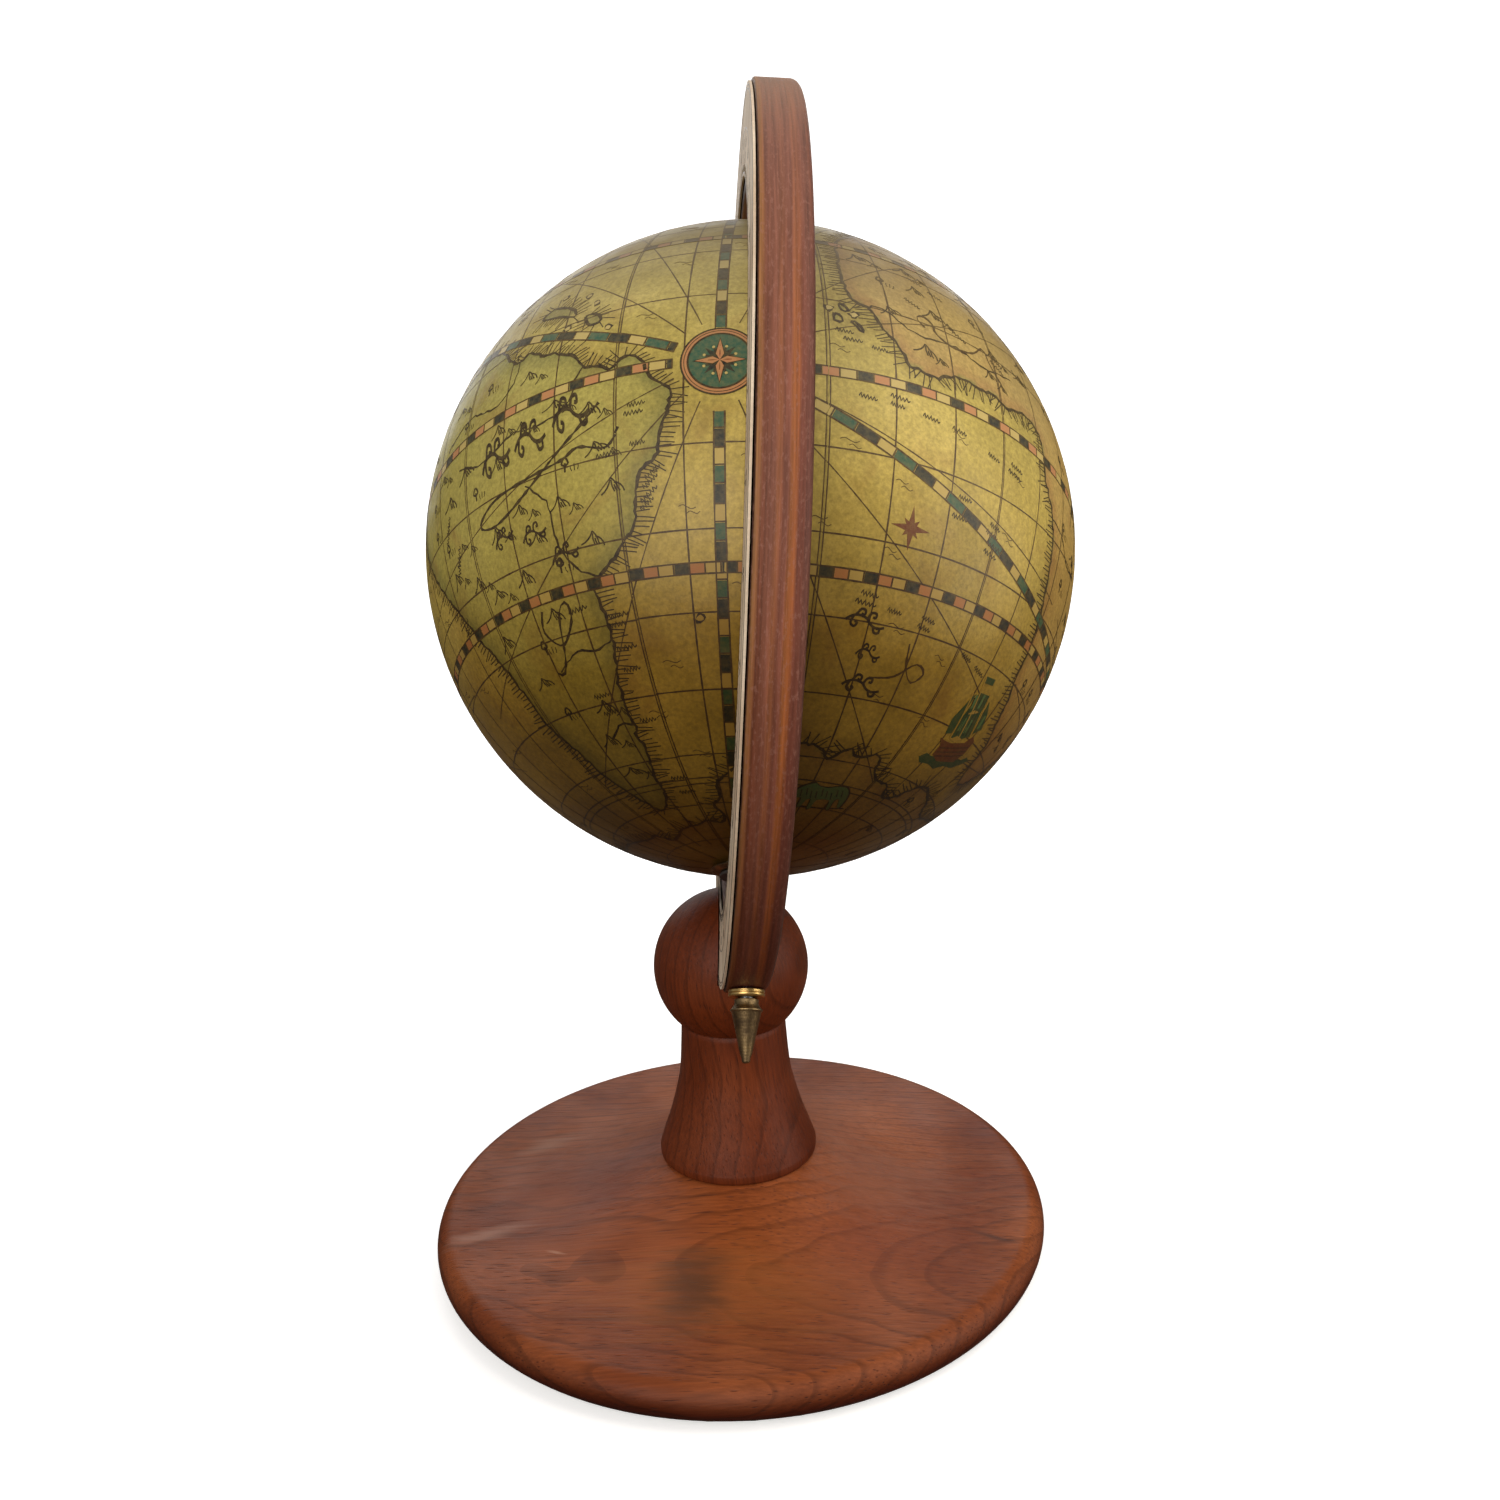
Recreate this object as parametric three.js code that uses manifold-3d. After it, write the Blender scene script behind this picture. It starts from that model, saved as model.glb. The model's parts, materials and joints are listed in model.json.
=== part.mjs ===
// A desktop globe on a turned wooden stand.
//
// Units are millimetres and +Z is up. The origin is the middle of the base's underside, and the
// front of the object faces -Y. The stand is turned about the Z axis. A wooden ball on the stem
// holds the meridian ring in a slot, and the ring leans a little to the right in it. The globe
// turns inside the ring on a steel rod, which lies in the plane of the ring.

import * as THREE from 'three';
import * as BufferGeometryUtils from 'three/addons/utils/BufferGeometryUtils.js';
import Module from 'manifold-3d';

const wasm = await Module();
wasm.setup();

// ---------------------------------------------------------------- driving dimensions

const GAP = 0.3; // clearance between pieces that touch

const GLOBE_R = 80; // outside of the paper map
const PAPER_T = 0.5;
const SHELL_T = 2;
const GORE_COUNT = 12;
const GORE_END_LAT = 85; // the gores stop short of the pole hardware
const MESH_STEP = 10; // degrees between the facets of the map and its shells
const MAP_SPIN_DEG = -7.3; // where the map's first meridian rests, east of the ring

const RING_INNER_R = 87.8;
const RING_OUTER_R = 107.6;
const RING_LEFT = -4.6; // the ring's wood lies between these two faces
const RING_RIGHT = 5.4;
const SCALE_T = 0.5; // printed paper scale on the ring's left face
const SCALE_MARGIN = 0.8;

const BALL_R = 20.9;
const BALL_Z = 75.5;
const CRADLE_LEAN_DEG = 4.1; // lean of the ring in the ball, top to the right
const RING_OFFSET_X = 1.6; // the slot is cut a little to the right of the ball's middle
const POLAR_TILT_DEG = 30; // axis from the ring's own vertical, south pole to the front

const BASE_R = 83;
const BASE_RIM_TOP = 11.1;
const BASE_BOSS_R = 20.8;
const BASE_BOSS_TOP = 22.2;
const FELT_R = 78;
const FELT_T = 1.5;

const STEM_FOOT_R = 21.6;
const STEM_TOP_R = 14.2;
const STEM_TOP = 60;
const DOWEL_R = 4;

const ROD_R = 1.5;
const ROD_LENGTH = 2 * (RING_OUTER_R + 9);
const BORE_R = ROD_R + GAP;

const degrees = THREE.MathUtils.degToRad;

// ---------------------------------------------------------------- geometry helpers

// Merges shared vertices, drops collapsed triangles and turns the faces outwards.
function weld(source) {
  const bare = source.index ? source.clone() : BufferGeometryUtils.mergeVertices(source);
  bare.deleteAttribute('normal');
  bare.deleteAttribute('uv');
  const merged = BufferGeometryUtils.mergeVertices(bare, 1e-4);
  const position = merged.getAttribute('position');
  const index = [];
  let volume = 0;
  const [a, b, c] = [new THREE.Vector3(), new THREE.Vector3(), new THREE.Vector3()];
  for (let i = 0; i < merged.index.count; i += 3) {
    const corners = [0, 1, 2].map((k) => merged.index.getX(i + k));
    if (new Set(corners).size < 3) continue;
    index.push(...corners);
    [a, b, c].forEach((v, k) => v.fromBufferAttribute(position, corners[k]));
    volume += a.dot(b.cross(c));
  }
  if (volume < 0) index.reverse();
  merged.setIndex(index);
  return merged;
}

function toManifold(geometry) {
  const closed = weld(geometry);
  return new wasm.Manifold(new wasm.Mesh({
    numProp: 3,
    vertProperties: new Float32Array(closed.getAttribute('position').array),
    triVerts: new Uint32Array(closed.index.array),
  }));
}

function fromManifold(manifold) {
  const mesh = manifold.getMesh();
  const geometry = new THREE.BufferGeometry();
  geometry.setAttribute('position', new THREE.BufferAttribute(mesh.vertProperties, 3));
  geometry.setIndex(new THREE.BufferAttribute(mesh.triVerts, 1));
  return geometry;
}

function cut(body, cutters) {
  return fromManifold(cutters.reduce((left, cutter) => left.subtract(toManifold(cutter)), toManifold(body)));
}

// A turned solid about Z. The profile is a list of [radius, z] that closes on itself or on the axis.
function turned(profile, segments) {
  const points = profile.map(([radius, z]) => new THREE.Vector2(radius, z));
  if (profile[0][0] > 0) points.push(points[0].clone());
  return weld(new THREE.LatheGeometry(points, segments).rotateX(Math.PI / 2));
}

// A sleeve or washer about Z between two heights.
function sleeve(innerR, outerR, bottom, top, segments = 20) {
  return turned([[innerR, bottom], [outerR, bottom], [outerR, top], [innerR, top]], segments);
}

// A plain rod about Z between two heights.
function rod(radius, bottom, top, segments = 20) {
  return new THREE.CylinderGeometry(radius, radius, top - bottom, segments)
    .rotateX(Math.PI / 2)
    .translate(0, 0, (bottom + top) / 2);
}

// Points of an arc as [radius, z], with angles in degrees from the +radius direction.
function arc(centreR, centreZ, radius, from, to, steps) {
  return Array.from({ length: steps + 1 }, (_, i) => {
    const angle = degrees(from + ((to - from) * i) / steps);
    return [centreR + radius * Math.cos(angle), centreZ + radius * Math.sin(angle)];
  });
}

// Points of a smooth curve through a few [radius, z] points.
function smooth(points, steps) {
  return new THREE.SplineCurve(points.map(([r, z]) => new THREE.Vector2(r, z)))
    .getPoints(steps)
    .map((p) => [p.x, p.y]);
}

// ---------------------------------------------------------------- scene graph

const globeOnStand = new THREE.Group();

// The ring's own frame: its origin is the ring's centre, and its Z is the ring's vertical.
const cradle = new THREE.Group();
cradle.rotation.y = degrees(CRADLE_LEAN_DEG);
cradle.position.set(0, 0, BALL_Z).add(
  new THREE.Vector3(RING_OFFSET_X, 0, RING_OUTER_R).applyEuler(cradle.rotation),
);
globeOnStand.add(cradle);

// The axle's frame: its Z runs from the south pole to the north pole.
const axle = new THREE.Group();
axle.rotation.x = -degrees(POLAR_TILT_DEG);
cradle.add(axle);

// The map turns on the axle, and rests with its first meridian a little west of the ring.
const map = new THREE.Group();
map.rotation.z = degrees(MAP_SPIN_DEG);
axle.add(map);

const finishes = {
  redWood: { color: 0x7d3f27, roughness: 0.5, metalness: 0 },
  ringWood: { color: 0x74392a, roughness: 0.5, metalness: 0 },
  mapPaper: { color: 0xa8985a, roughness: 0.35, metalness: 0 },
  scalePaper: { color: 0xc3b193, roughness: 0.7, metalness: 0 },
  card: { color: 0xb59f7d, roughness: 0.9, metalness: 0 },
  brass: { color: 0xa28c5b, roughness: 0.35, metalness: 1 },
  steel: { color: 0x9b9c9d, roughness: 0.35, metalness: 1 },
  nylon: { color: 0xe4e0d4, roughness: 0.5, metalness: 0 },
  beech: { color: 0xc59c6c, roughness: 0.7, metalness: 0 },
  felt: { color: 0x39503b, roughness: 1, metalness: 0 },
};

function add(parent, name, geometry, finish) {
  const mesh = new THREE.Mesh(geometry, new THREE.MeshStandardMaterial(finishes[finish]));
  mesh.name = name;
  parent.add(mesh);
}

// ---------------------------------------------------------------- base and stem

const SCREW_R = 2.6;
const COUNTERBORE_R = 10;
const COUNTERBORE_TOP = 9.5;

function baseSolid() {
  const bottom = FELT_T + GAP;
  const rimR = (BASE_RIM_TOP - bottom) / 2;
  const rim = arc(BASE_R - rimR, bottom + rimR, rimR, -90, 90, 6);
  const innerR = 77;
  const rise = BASE_BOSS_TOP - BASE_RIM_TOP;
  // The dish is flat by the rim and climbs to the stem like a shallow bell.
  const dish = Array.from({ length: 7 }, (_, i) => {
    const radius = innerR + ((BASE_BOSS_R + 1 - innerR) * i) / 6;
    const run = (innerR - radius) / (innerR - BASE_BOSS_R);
    return [radius, BASE_RIM_TOP + rise * run ** 2.2];
  });
  return turned([
    [COUNTERBORE_R, bottom],
    ...rim,
    ...dish,
    [BASE_BOSS_R, BASE_BOSS_TOP],
    [SCREW_R + 0.8, BASE_BOSS_TOP],
    [SCREW_R + 0.8, COUNTERBORE_TOP],
    [COUNTERBORE_R, COUNTERBORE_TOP],
  ], 48);
}

const DOWEL_BOTTOM = 50.3;
const DOWEL_TOP = 65;
const SCREW_TOP = 44;

function stemSolid() {
  const bottom = BASE_BOSS_TOP + GAP;
  const side = smooth([
    [STEM_FOOT_R, 24.4], [20.4, 28], [18.4, 33.5], [16.4, 40.5], [15.1, 47], [STEM_TOP_R, STEM_TOP - 0.5],
  ], 7);
  return turned([
    [0, SCREW_TOP + GAP],
    [SCREW_R + GAP, SCREW_TOP + GAP],
    [SCREW_R + GAP, bottom],
    [STEM_FOOT_R - 0.8, bottom],
    ...side,
    [STEM_TOP_R - 0.5, STEM_TOP],
    [DOWEL_R + GAP, STEM_TOP],
    [DOWEL_R + GAP, DOWEL_BOTTOM - GAP],
    [0, DOWEL_BOTTOM - GAP],
  ], 36);
}

function stemScrewSolid() {
  const headTop = 7.7;
  const headBottom = 4.4;
  return turned([
    [0, headBottom],
    [4.6, headBottom],
    [5.8, headBottom + 1.4],
    [5.8, headTop],
    [SCREW_R, headTop],
    [SCREW_R, SCREW_TOP - 4],
    [0, SCREW_TOP],
  ], 20);
}

add(globeOnStand, 'base_felt', rod(FELT_R, 0, FELT_T, 48), 'felt');
add(globeOnStand, 'base', baseSolid(), 'redWood');
add(globeOnStand, 'stem', stemSolid(), 'redWood');
add(globeOnStand, 'stem_screw', stemScrewSolid(), 'steel');
add(globeOnStand, 'stem_washer', sleeve(SCREW_R + GAP, 8.5, 8, COUNTERBORE_TOP - GAP), 'steel');
add(globeOnStand, 'ball_dowel', rod(DOWEL_R, DOWEL_BOTTOM, DOWEL_TOP), 'beech');

// ---------------------------------------------------------------- meridian ring

const RING_SEGMENTS = 72;
const RING_SCREW_HEAD = RING_INNER_R + 0.5; // distance of the screw's head from the ring's centre
const RING_SCREW_TIP = RING_OUTER_R + 8;
const RING_SCREW_R = 2;

// A turned solid about the ring's own axis, which is X. The profile is a list of [radius, x].
function ringTurned(profile) {
  return turned(profile, RING_SEGMENTS).rotateX(-Math.PI / 2).rotateZ(-Math.PI / 2);
}

// The woodscrew that holds the ring in the ball points down, so its profile is [radius, -depth].
function ringScrew(grow) {
  const shank = RING_SCREW_R + grow;
  return turned([
    [0, -RING_SCREW_HEAD + (grow > 0 ? 4 : 0)],
    [3.6 + grow, -RING_SCREW_HEAD + (grow > 0 ? 4 : 0)],
    [3.6 + grow, -RING_SCREW_HEAD],
    [shank, -RING_SCREW_HEAD - 2.4 - grow],
    [shank, -RING_SCREW_TIP + 2.5 - grow],
    [0, -RING_SCREW_TIP - grow],
  ], 16);
}

function ringSolid() {
  const body = ringTurned([
    [RING_INNER_R + 0.8, RING_LEFT],
    [RING_OUTER_R - 0.5, RING_LEFT],
    [RING_OUTER_R, RING_LEFT + 0.5],
    [RING_OUTER_R, RING_RIGHT - 2],
    [RING_OUTER_R - 0.6, RING_RIGHT - 0.6],
    [RING_OUTER_R - 2, RING_RIGHT],
    [RING_INNER_R + 1.5, RING_RIGHT],
    [RING_INNER_R, RING_RIGHT - 1.5],
    [RING_INNER_R, RING_LEFT + 0.8],
  ]);
  const axleBore = rod(ROD_R + 0.4, -RING_OUTER_R - 5, RING_OUTER_R + 5, 16).applyMatrix4(axleMatrix);
  return cut(body, [axleBore, ringScrew(GAP)]);
}

axle.updateMatrix();
cradle.updateMatrix();
const axleMatrix = axle.matrix;
const cradleMatrix = cradle.matrix;

const scaleOuter = RING_LEFT - GAP - SCALE_T;
add(cradle, 'meridian_ring', ringSolid(), 'ringWood');
add(cradle, 'meridian_scale', ringTurned([
  [RING_INNER_R + SCALE_MARGIN, scaleOuter],
  [RING_OUTER_R - SCALE_MARGIN, scaleOuter],
  [RING_OUTER_R - SCALE_MARGIN, scaleOuter + SCALE_T],
  [RING_INNER_R + SCALE_MARGIN, scaleOuter + SCALE_T],
]), 'scalePaper');
add(cradle, 'ring_screw', ringScrew(0), 'brass');

// ---------------------------------------------------------------- ball

function ballSolid() {
  const sphere = new THREE.SphereGeometry(BALL_R, 36, 18).rotateX(Math.PI / 2).translate(0, 0, BALL_Z);
  const slot = ringTurned([
    [RING_INNER_R - 30, scaleOuter - GAP],
    [RING_OUTER_R + GAP, scaleOuter - GAP],
    [RING_OUTER_R + GAP, RING_RIGHT + GAP],
    [RING_INNER_R - 30, RING_RIGHT + GAP],
  ]).applyMatrix4(cradleMatrix);
  const seat = rod(BALL_R, BALL_Z - BALL_R - 5, STEM_TOP + GAP);
  const dowelHole = rod(DOWEL_R + GAP, STEM_TOP - 5, DOWEL_TOP + GAP);
  const screwHole = ringScrew(GAP).applyMatrix4(cradleMatrix);
  return cut(sphere, [slot, seat, dowelHole, screwHole]);
}

add(globeOnStand, 'ball', ballSolid(), 'redWood');

// ---------------------------------------------------------------- globe

const SHELL_OUTER_R = GLOBE_R - PAPER_T - GAP;
const SHELL_INNER_R = SHELL_OUTER_R - SHELL_T;
const POLE_HOLE_R = 4.3;
const HOOP_HALF_H = 8; // the hoop inside bridges the joint of the two shells
const HOOP_OUTER_R = SHELL_INNER_R - 1.5;
const COLUMNS = 360 / MESH_STEP;
const GORE_COLUMNS = COLUMNS / GORE_COUNT;

// One hemisphere of the hollow globe, open at the equator and at the pole. side is 1 or -1.
function shellSolid(side) {
  const lastLat = 90 - THREE.MathUtils.radToDeg(Math.asin(POLE_HOLE_R / SHELL_INNER_R));
  const wall = (radius, steps) => arc(0, 0, radius, 0, lastLat, steps)
    .map(([r, z], i) => [Math.max(r, POLE_HOLE_R), i ? side * z : side * GAP / 2]);
  return turned([...wall(SHELL_OUTER_R, 9), ...wall(SHELL_INNER_R, 6).reverse()], COLUMNS)
    .rotateZ(degrees(MESH_STEP / 2));
}

// One paper gore: a thin block bent on to the sphere, with a hairline left between neighbours.
function goreSolid(middleLon) {
  const rows = (2 * GORE_END_LAT) / MESH_STEP;
  const block = new THREE.BoxGeometry(1, 1, 1, GORE_COLUMNS, rows, 1);
  const position = block.getAttribute('position');
  for (let i = 0; i < position.count; i++) {
    const lat = degrees(position.getY(i) * 2 * GORE_END_LAT);
    const halfWidth = degrees(180 / GORE_COUNT) - GAP / 2 / (GLOBE_R * Math.cos(lat));
    const lon = degrees(middleLon) + position.getX(i) * 2 * halfWidth;
    const radius = position.getZ(i) > 0 ? GLOBE_R : GLOBE_R - PAPER_T;
    position.setXYZ(
      i,
      radius * Math.cos(lat) * Math.sin(lon),
      -radius * Math.cos(lat) * Math.cos(lon),
      radius * Math.sin(lat),
    );
  }
  return weld(block);
}

for (const [name, side] of [['north', 1], ['south', -1]]) {
  add(map, `globe_shell_${name}`, shellSolid(side), 'card');
}
add(map, 'equator_hoop', sleeve(HOOP_OUTER_R - 1.5, HOOP_OUTER_R, -HOOP_HALF_H, HOOP_HALF_H, COLUMNS)
  .rotateZ(degrees(MESH_STEP / 2)), 'card');
for (let i = 0; i < GORE_COUNT; i++) {
  const name = `map_gore_${String(i + 1).padStart(2, '0')}`;
  add(map, name, goreSolid((i * 360) / GORE_COUNT), 'mapPaper');
}

// ---------------------------------------------------------------- axle hardware

const FERRULE_FLANGE = [GLOBE_R + 0.2, GLOBE_R + 1.1];
const WASHER = [GLOBE_R + 1.4, GLOBE_R + 2.2];
const SPACER = [GLOBE_R + 2.5, RING_INNER_R - 0.4];
const COLLAR = [RING_OUTER_R + GAP, RING_OUTER_R + 2];
const FINIAL_BASE = COLLAR[1] + GAP;

// The eyelet in a pole hole: a barrel through the shell and a flange over the ends of the gores.
function ferruleSolid() {
  const barrelR = POLE_HOLE_R - GAP;
  const bore = ROD_R + 0.4;
  return turned([
    [bore, GLOBE_R - 6],
    [barrelR, GLOBE_R - 6],
    [barrelR, FERRULE_FLANGE[0]],
    [8.5, FERRULE_FLANGE[0]],
    [7.6, FERRULE_FLANGE[1]],
    [bore, FERRULE_FLANGE[1]],
  ], 20);
}

// A long pointed nut: a waisted neck, a flared shoulder and a slender cone with a small tip.
function finialSolid() {
  const profile = [
    [2.75, 0], [2.75, 0.9], [3.05, 1.6], [3.65, 2.5], [3.5, 3.1], [1.25, 12.3], [0.75, 13.5], [0, 14],
  ].map(([r, z]) => [r, FINIAL_BASE + z]);
  return turned([
    [0, FINIAL_BASE + 7.3],
    [BORE_R, FINIAL_BASE + 7.3],
    [BORE_R, FINIAL_BASE],
    ...profile,
  ], 20);
}

add(axle, 'axle_rod', rod(ROD_R, -ROD_LENGTH / 2, ROD_LENGTH / 2, 16), 'steel');

// Both ends of the axle carry the same pieces. Each is made for the north end and turned over.
for (const [name, turn] of [['north', 0], ['south', Math.PI]]) {
  add(axle, `${name}_washer`, sleeve(BORE_R, 6.5, ...WASHER).rotateX(turn), 'nylon');
  add(axle, `${name}_spacer`, sleeve(BORE_R, 3.5, ...SPACER).rotateX(turn), 'brass');
  add(axle, `${name}_collar`, sleeve(BORE_R, 4.1, ...COLLAR).rotateX(turn), 'brass');
  add(axle, `${name}_finial`, finialSolid().rotateX(turn), 'brass');
  add(map, `${name}_ferrule`, ferruleSolid().rotateX(turn), 'brass');
}

export default globeOnStand;
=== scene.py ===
"""The looks of a desktop globe on a turned wooden stand, built around its fixed frame.

Lengths are millimetres until a mesh is written, when they become metres. The map is drawn in
degrees: longitude 0 is the middle of the first gore, and runs positive to the east.
"""

import json
import math
import random
from functools import partial

import bmesh
import bpy
import numpy as np
from mathutils import Matrix, Vector
from mathutils.geometry import delaunay_2d_cdt
from mathutils.kdtree import KDTree


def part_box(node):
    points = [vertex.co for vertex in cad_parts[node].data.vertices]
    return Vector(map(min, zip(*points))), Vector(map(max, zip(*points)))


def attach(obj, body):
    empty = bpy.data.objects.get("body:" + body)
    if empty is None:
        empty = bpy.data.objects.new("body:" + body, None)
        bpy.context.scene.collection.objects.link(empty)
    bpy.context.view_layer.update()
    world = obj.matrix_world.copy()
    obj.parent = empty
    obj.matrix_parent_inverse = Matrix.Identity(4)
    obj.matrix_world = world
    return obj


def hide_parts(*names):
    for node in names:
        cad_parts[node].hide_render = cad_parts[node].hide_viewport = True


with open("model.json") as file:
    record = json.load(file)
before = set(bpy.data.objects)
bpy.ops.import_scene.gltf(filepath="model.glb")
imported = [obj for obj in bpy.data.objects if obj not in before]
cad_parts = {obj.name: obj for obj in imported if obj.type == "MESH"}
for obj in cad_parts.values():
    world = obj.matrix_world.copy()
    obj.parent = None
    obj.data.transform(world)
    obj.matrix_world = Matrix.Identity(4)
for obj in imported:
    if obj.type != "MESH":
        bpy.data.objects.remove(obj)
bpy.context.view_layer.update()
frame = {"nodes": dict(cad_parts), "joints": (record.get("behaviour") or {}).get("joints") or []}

MM = 0.001

# ---------------------------------------------------------------- places, from the frame

spin = frame["joints"][0]
CENTRE = Vector(spin["pos_m"]) / MM
AXIS = Vector(spin["axis"]).normalized()
LEAN = math.atan2(AXIS.x, AXIS.z)
TILT = math.asin(AXIS.y)

RING_PLACE = Matrix.Translation(CENTRE) @ Matrix.Rotation(LEAN, 4, "Y")
AXLE_PLACE = RING_PLACE @ Matrix.Rotation(-TILT, 4, "X")


def points_of(mesh):
    """A mesh's vertices, in millimetres."""
    flat = np.zeros(len(mesh.vertices) * 3, np.float32)
    mesh.vertices.foreach_get("co", flat)
    return flat.reshape(-1, 3).astype(float) / MM


def span(node, place=Matrix.Identity(4)):
    """(least radius, greatest radius, lowest, highest) of a node about the Z of a place."""
    back = np.array(place.inverted())
    local = points_of(frame["nodes"][node].data) @ back[:3, :3].T + back[:3, 3]
    radius = np.hypot(local[:, 0], local[:, 1])
    return radius.min(), radius.max(), local[:, 2].min(), local[:, 2].max()


gore_points = points_of(frame["nodes"]["map_gore_01"].data) - np.array(CENTRE)
gore_radii = np.linalg.norm(gore_points, axis=1)
PRINT_ROOM = 0.15  # the paper lies this far inside the CAD gores, so that the print can stand proud of it
SHY = 0.02  # the outermost wood stays this far inside the CAD box
GLOBE_R = gore_radii.max() - PRINT_ROOM
PAPER_INNER_R = gore_radii.min()
first_meridian = Vector(gore_points.mean(0))
first_meridian = (first_meridian - AXIS * first_meridian.dot(AXIS)).normalized()
MAP_AXES = np.array([first_meridian, AXIS.cross(first_meridian), AXIS])

# ---------------------------------------------------------------- camera, lights and floor

# Angles are in degrees, and the distance from the globe's centre is in millimetres.
CAMERA_AZIMUTH = -2.42
CAMERA_ELEVATION = 1.44
CAMERA_DISTANCE = 303.8
CAMERA_PAN = -0.36
CAMERA_NOD = 9.05
CAMERA_ROLL = 2.18
LENS = 28.23
GLOW = 0.34  # the studio's even light
FLOOR_SIZE = 4000
FLOOR_BEND_R = 500
FLOOR_BEHIND = 700


def linear(colour):
    """An sRGB hex colour as the linear values that shaders take."""
    channels = [int(colour[i:i + 2], 16) / 255 for i in (1, 3, 5)]
    return tuple(c / 12.92 if c <= 0.04045 else ((c + 0.055) / 1.055) ** 2.4 for c in channels) + (1.0,)


def feed(tree, node, inputs):
    """Sets a node's sockets, by name or number. A node given as a value stands for its first live output."""
    for name, value in inputs.items():
        socket = node.inputs[name]
        if isinstance(value, bpy.types.Node):
            value = next(output for output in value.outputs if output.enabled)
        if isinstance(value, bpy.types.NodeSocket):
            tree.links.new(value, socket)
        elif isinstance(value, str) and value.startswith("#"):
            socket.default_value = linear(value)
        else:
            socket.default_value = value


def add(tree, kind, settings=None, inputs=None):
    """Adds a node with its settings and links. stops are a colour ramp's (position, colour) pairs."""
    node = tree.nodes.new(kind)
    for name, value in (settings or {}).items():
        if name != "stops":
            setattr(node, name, value)
            continue
        ramp = node.color_ramp.elements
        while len(ramp) < len(value):
            ramp.new(0.5)
        for element, (position, colour) in zip(ramp, value):
            element.position = position
            element.color = linear(colour)
    feed(tree, node, inputs or {})
    return node


def shader_tree(owner):
    """The emptied node tree of a material or a world."""
    owner.use_nodes = True
    owner.node_tree.nodes.clear()
    return owner.node_tree


def place_in_scene(name, data):
    """A new object in the scene."""
    thing = bpy.data.objects.new(name, data)
    bpy.context.scene.collection.objects.link(thing)
    return thing


def place_camera():
    """The camera looks a little above level from the front, turned and nodded off the globe's centre."""
    azimuth, elevation = math.radians(CAMERA_AZIMUTH), math.radians(CAMERA_ELEVATION)
    back = Vector((
        math.sin(azimuth) * math.cos(elevation),
        -math.cos(azimuth) * math.cos(elevation),
        math.sin(elevation),
    ))
    right = (-back).cross(Vector((0, 0, 1))).normalized()
    up = right.cross(-back)
    level = Matrix((right, up, back))
    turn = (
        Matrix.Rotation(math.radians(CAMERA_ROLL), 3, "Z")
        @ Matrix.Rotation(math.radians(CAMERA_NOD), 3, "X")
        @ Matrix.Rotation(math.radians(CAMERA_PAN), 3, "Y")
    )
    data = bpy.data.cameras.new("camera")
    data.lens = LENS
    data.sensor_width = 36
    data.clip_start = 0.01
    camera = place_in_scene("camera", data)
    place = (turn @ level).transposed().to_4x4()
    place.translation = (CENTRE + back * CAMERA_DISTANCE) * MM
    camera.matrix_world = place
    bpy.context.scene.camera = camera


def soft_light(name, where, width, height, power, colour):
    """A rectangular softbox that faces the globe. where is in millimetres from the globe's centre."""
    data = bpy.data.lights.new(name, "AREA")
    data.shape = "RECTANGLE"
    data.size = width * MM
    data.size_y = height * MM
    data.energy = power
    data.color = linear(colour)[:3]
    lamp = place_in_scene(name, data)
    lamp.location = (CENTRE + Vector(where)) * MM
    lamp.rotation_mode = "QUATERNION"
    lamp.rotation_quaternion = (-Vector(where)).to_track_quat("-Z", "Y")


def make_studio():
    """Five softboxes and a weak even glow, in front of plain white."""
    soft_light("key_softbox", (430, -300, 560), 460, 460, 2.0, "#fff6ea")
    soft_light("top_softbox", (-20, 300, 740), 900, 900, 1.4, "#ffffff")
    soft_light("front_softbox", (-260, -720, 260), 640, 640, 4.7, "#fff8f0")
    soft_light("side_softbox", (640, -260, 60), 420, 520, 2.3, "#fff8f0")
    soft_light("back_softbox", (-60, 700, 260), 900, 420, 2.6, "#ffffff")
    world = bpy.data.worlds.new("studio")
    bpy.context.scene.world = world
    tree = shader_tree(world)
    seen = add(tree, "ShaderNodeLightPath")
    glow = add(tree, "ShaderNodeBackground", None, {"Color": "#ffffff", "Strength": GLOW})
    white = add(tree, "ShaderNodeBackground", None, {"Color": "#ffffff", "Strength": 1.0})
    mix = add(tree, "ShaderNodeMixShader", None, {0: seen, 1: glow, 2: white})
    add(tree, "ShaderNodeOutputWorld", None, {"Surface": mix})
    bpy.context.scene.view_settings.view_transform = "Standard"


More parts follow.
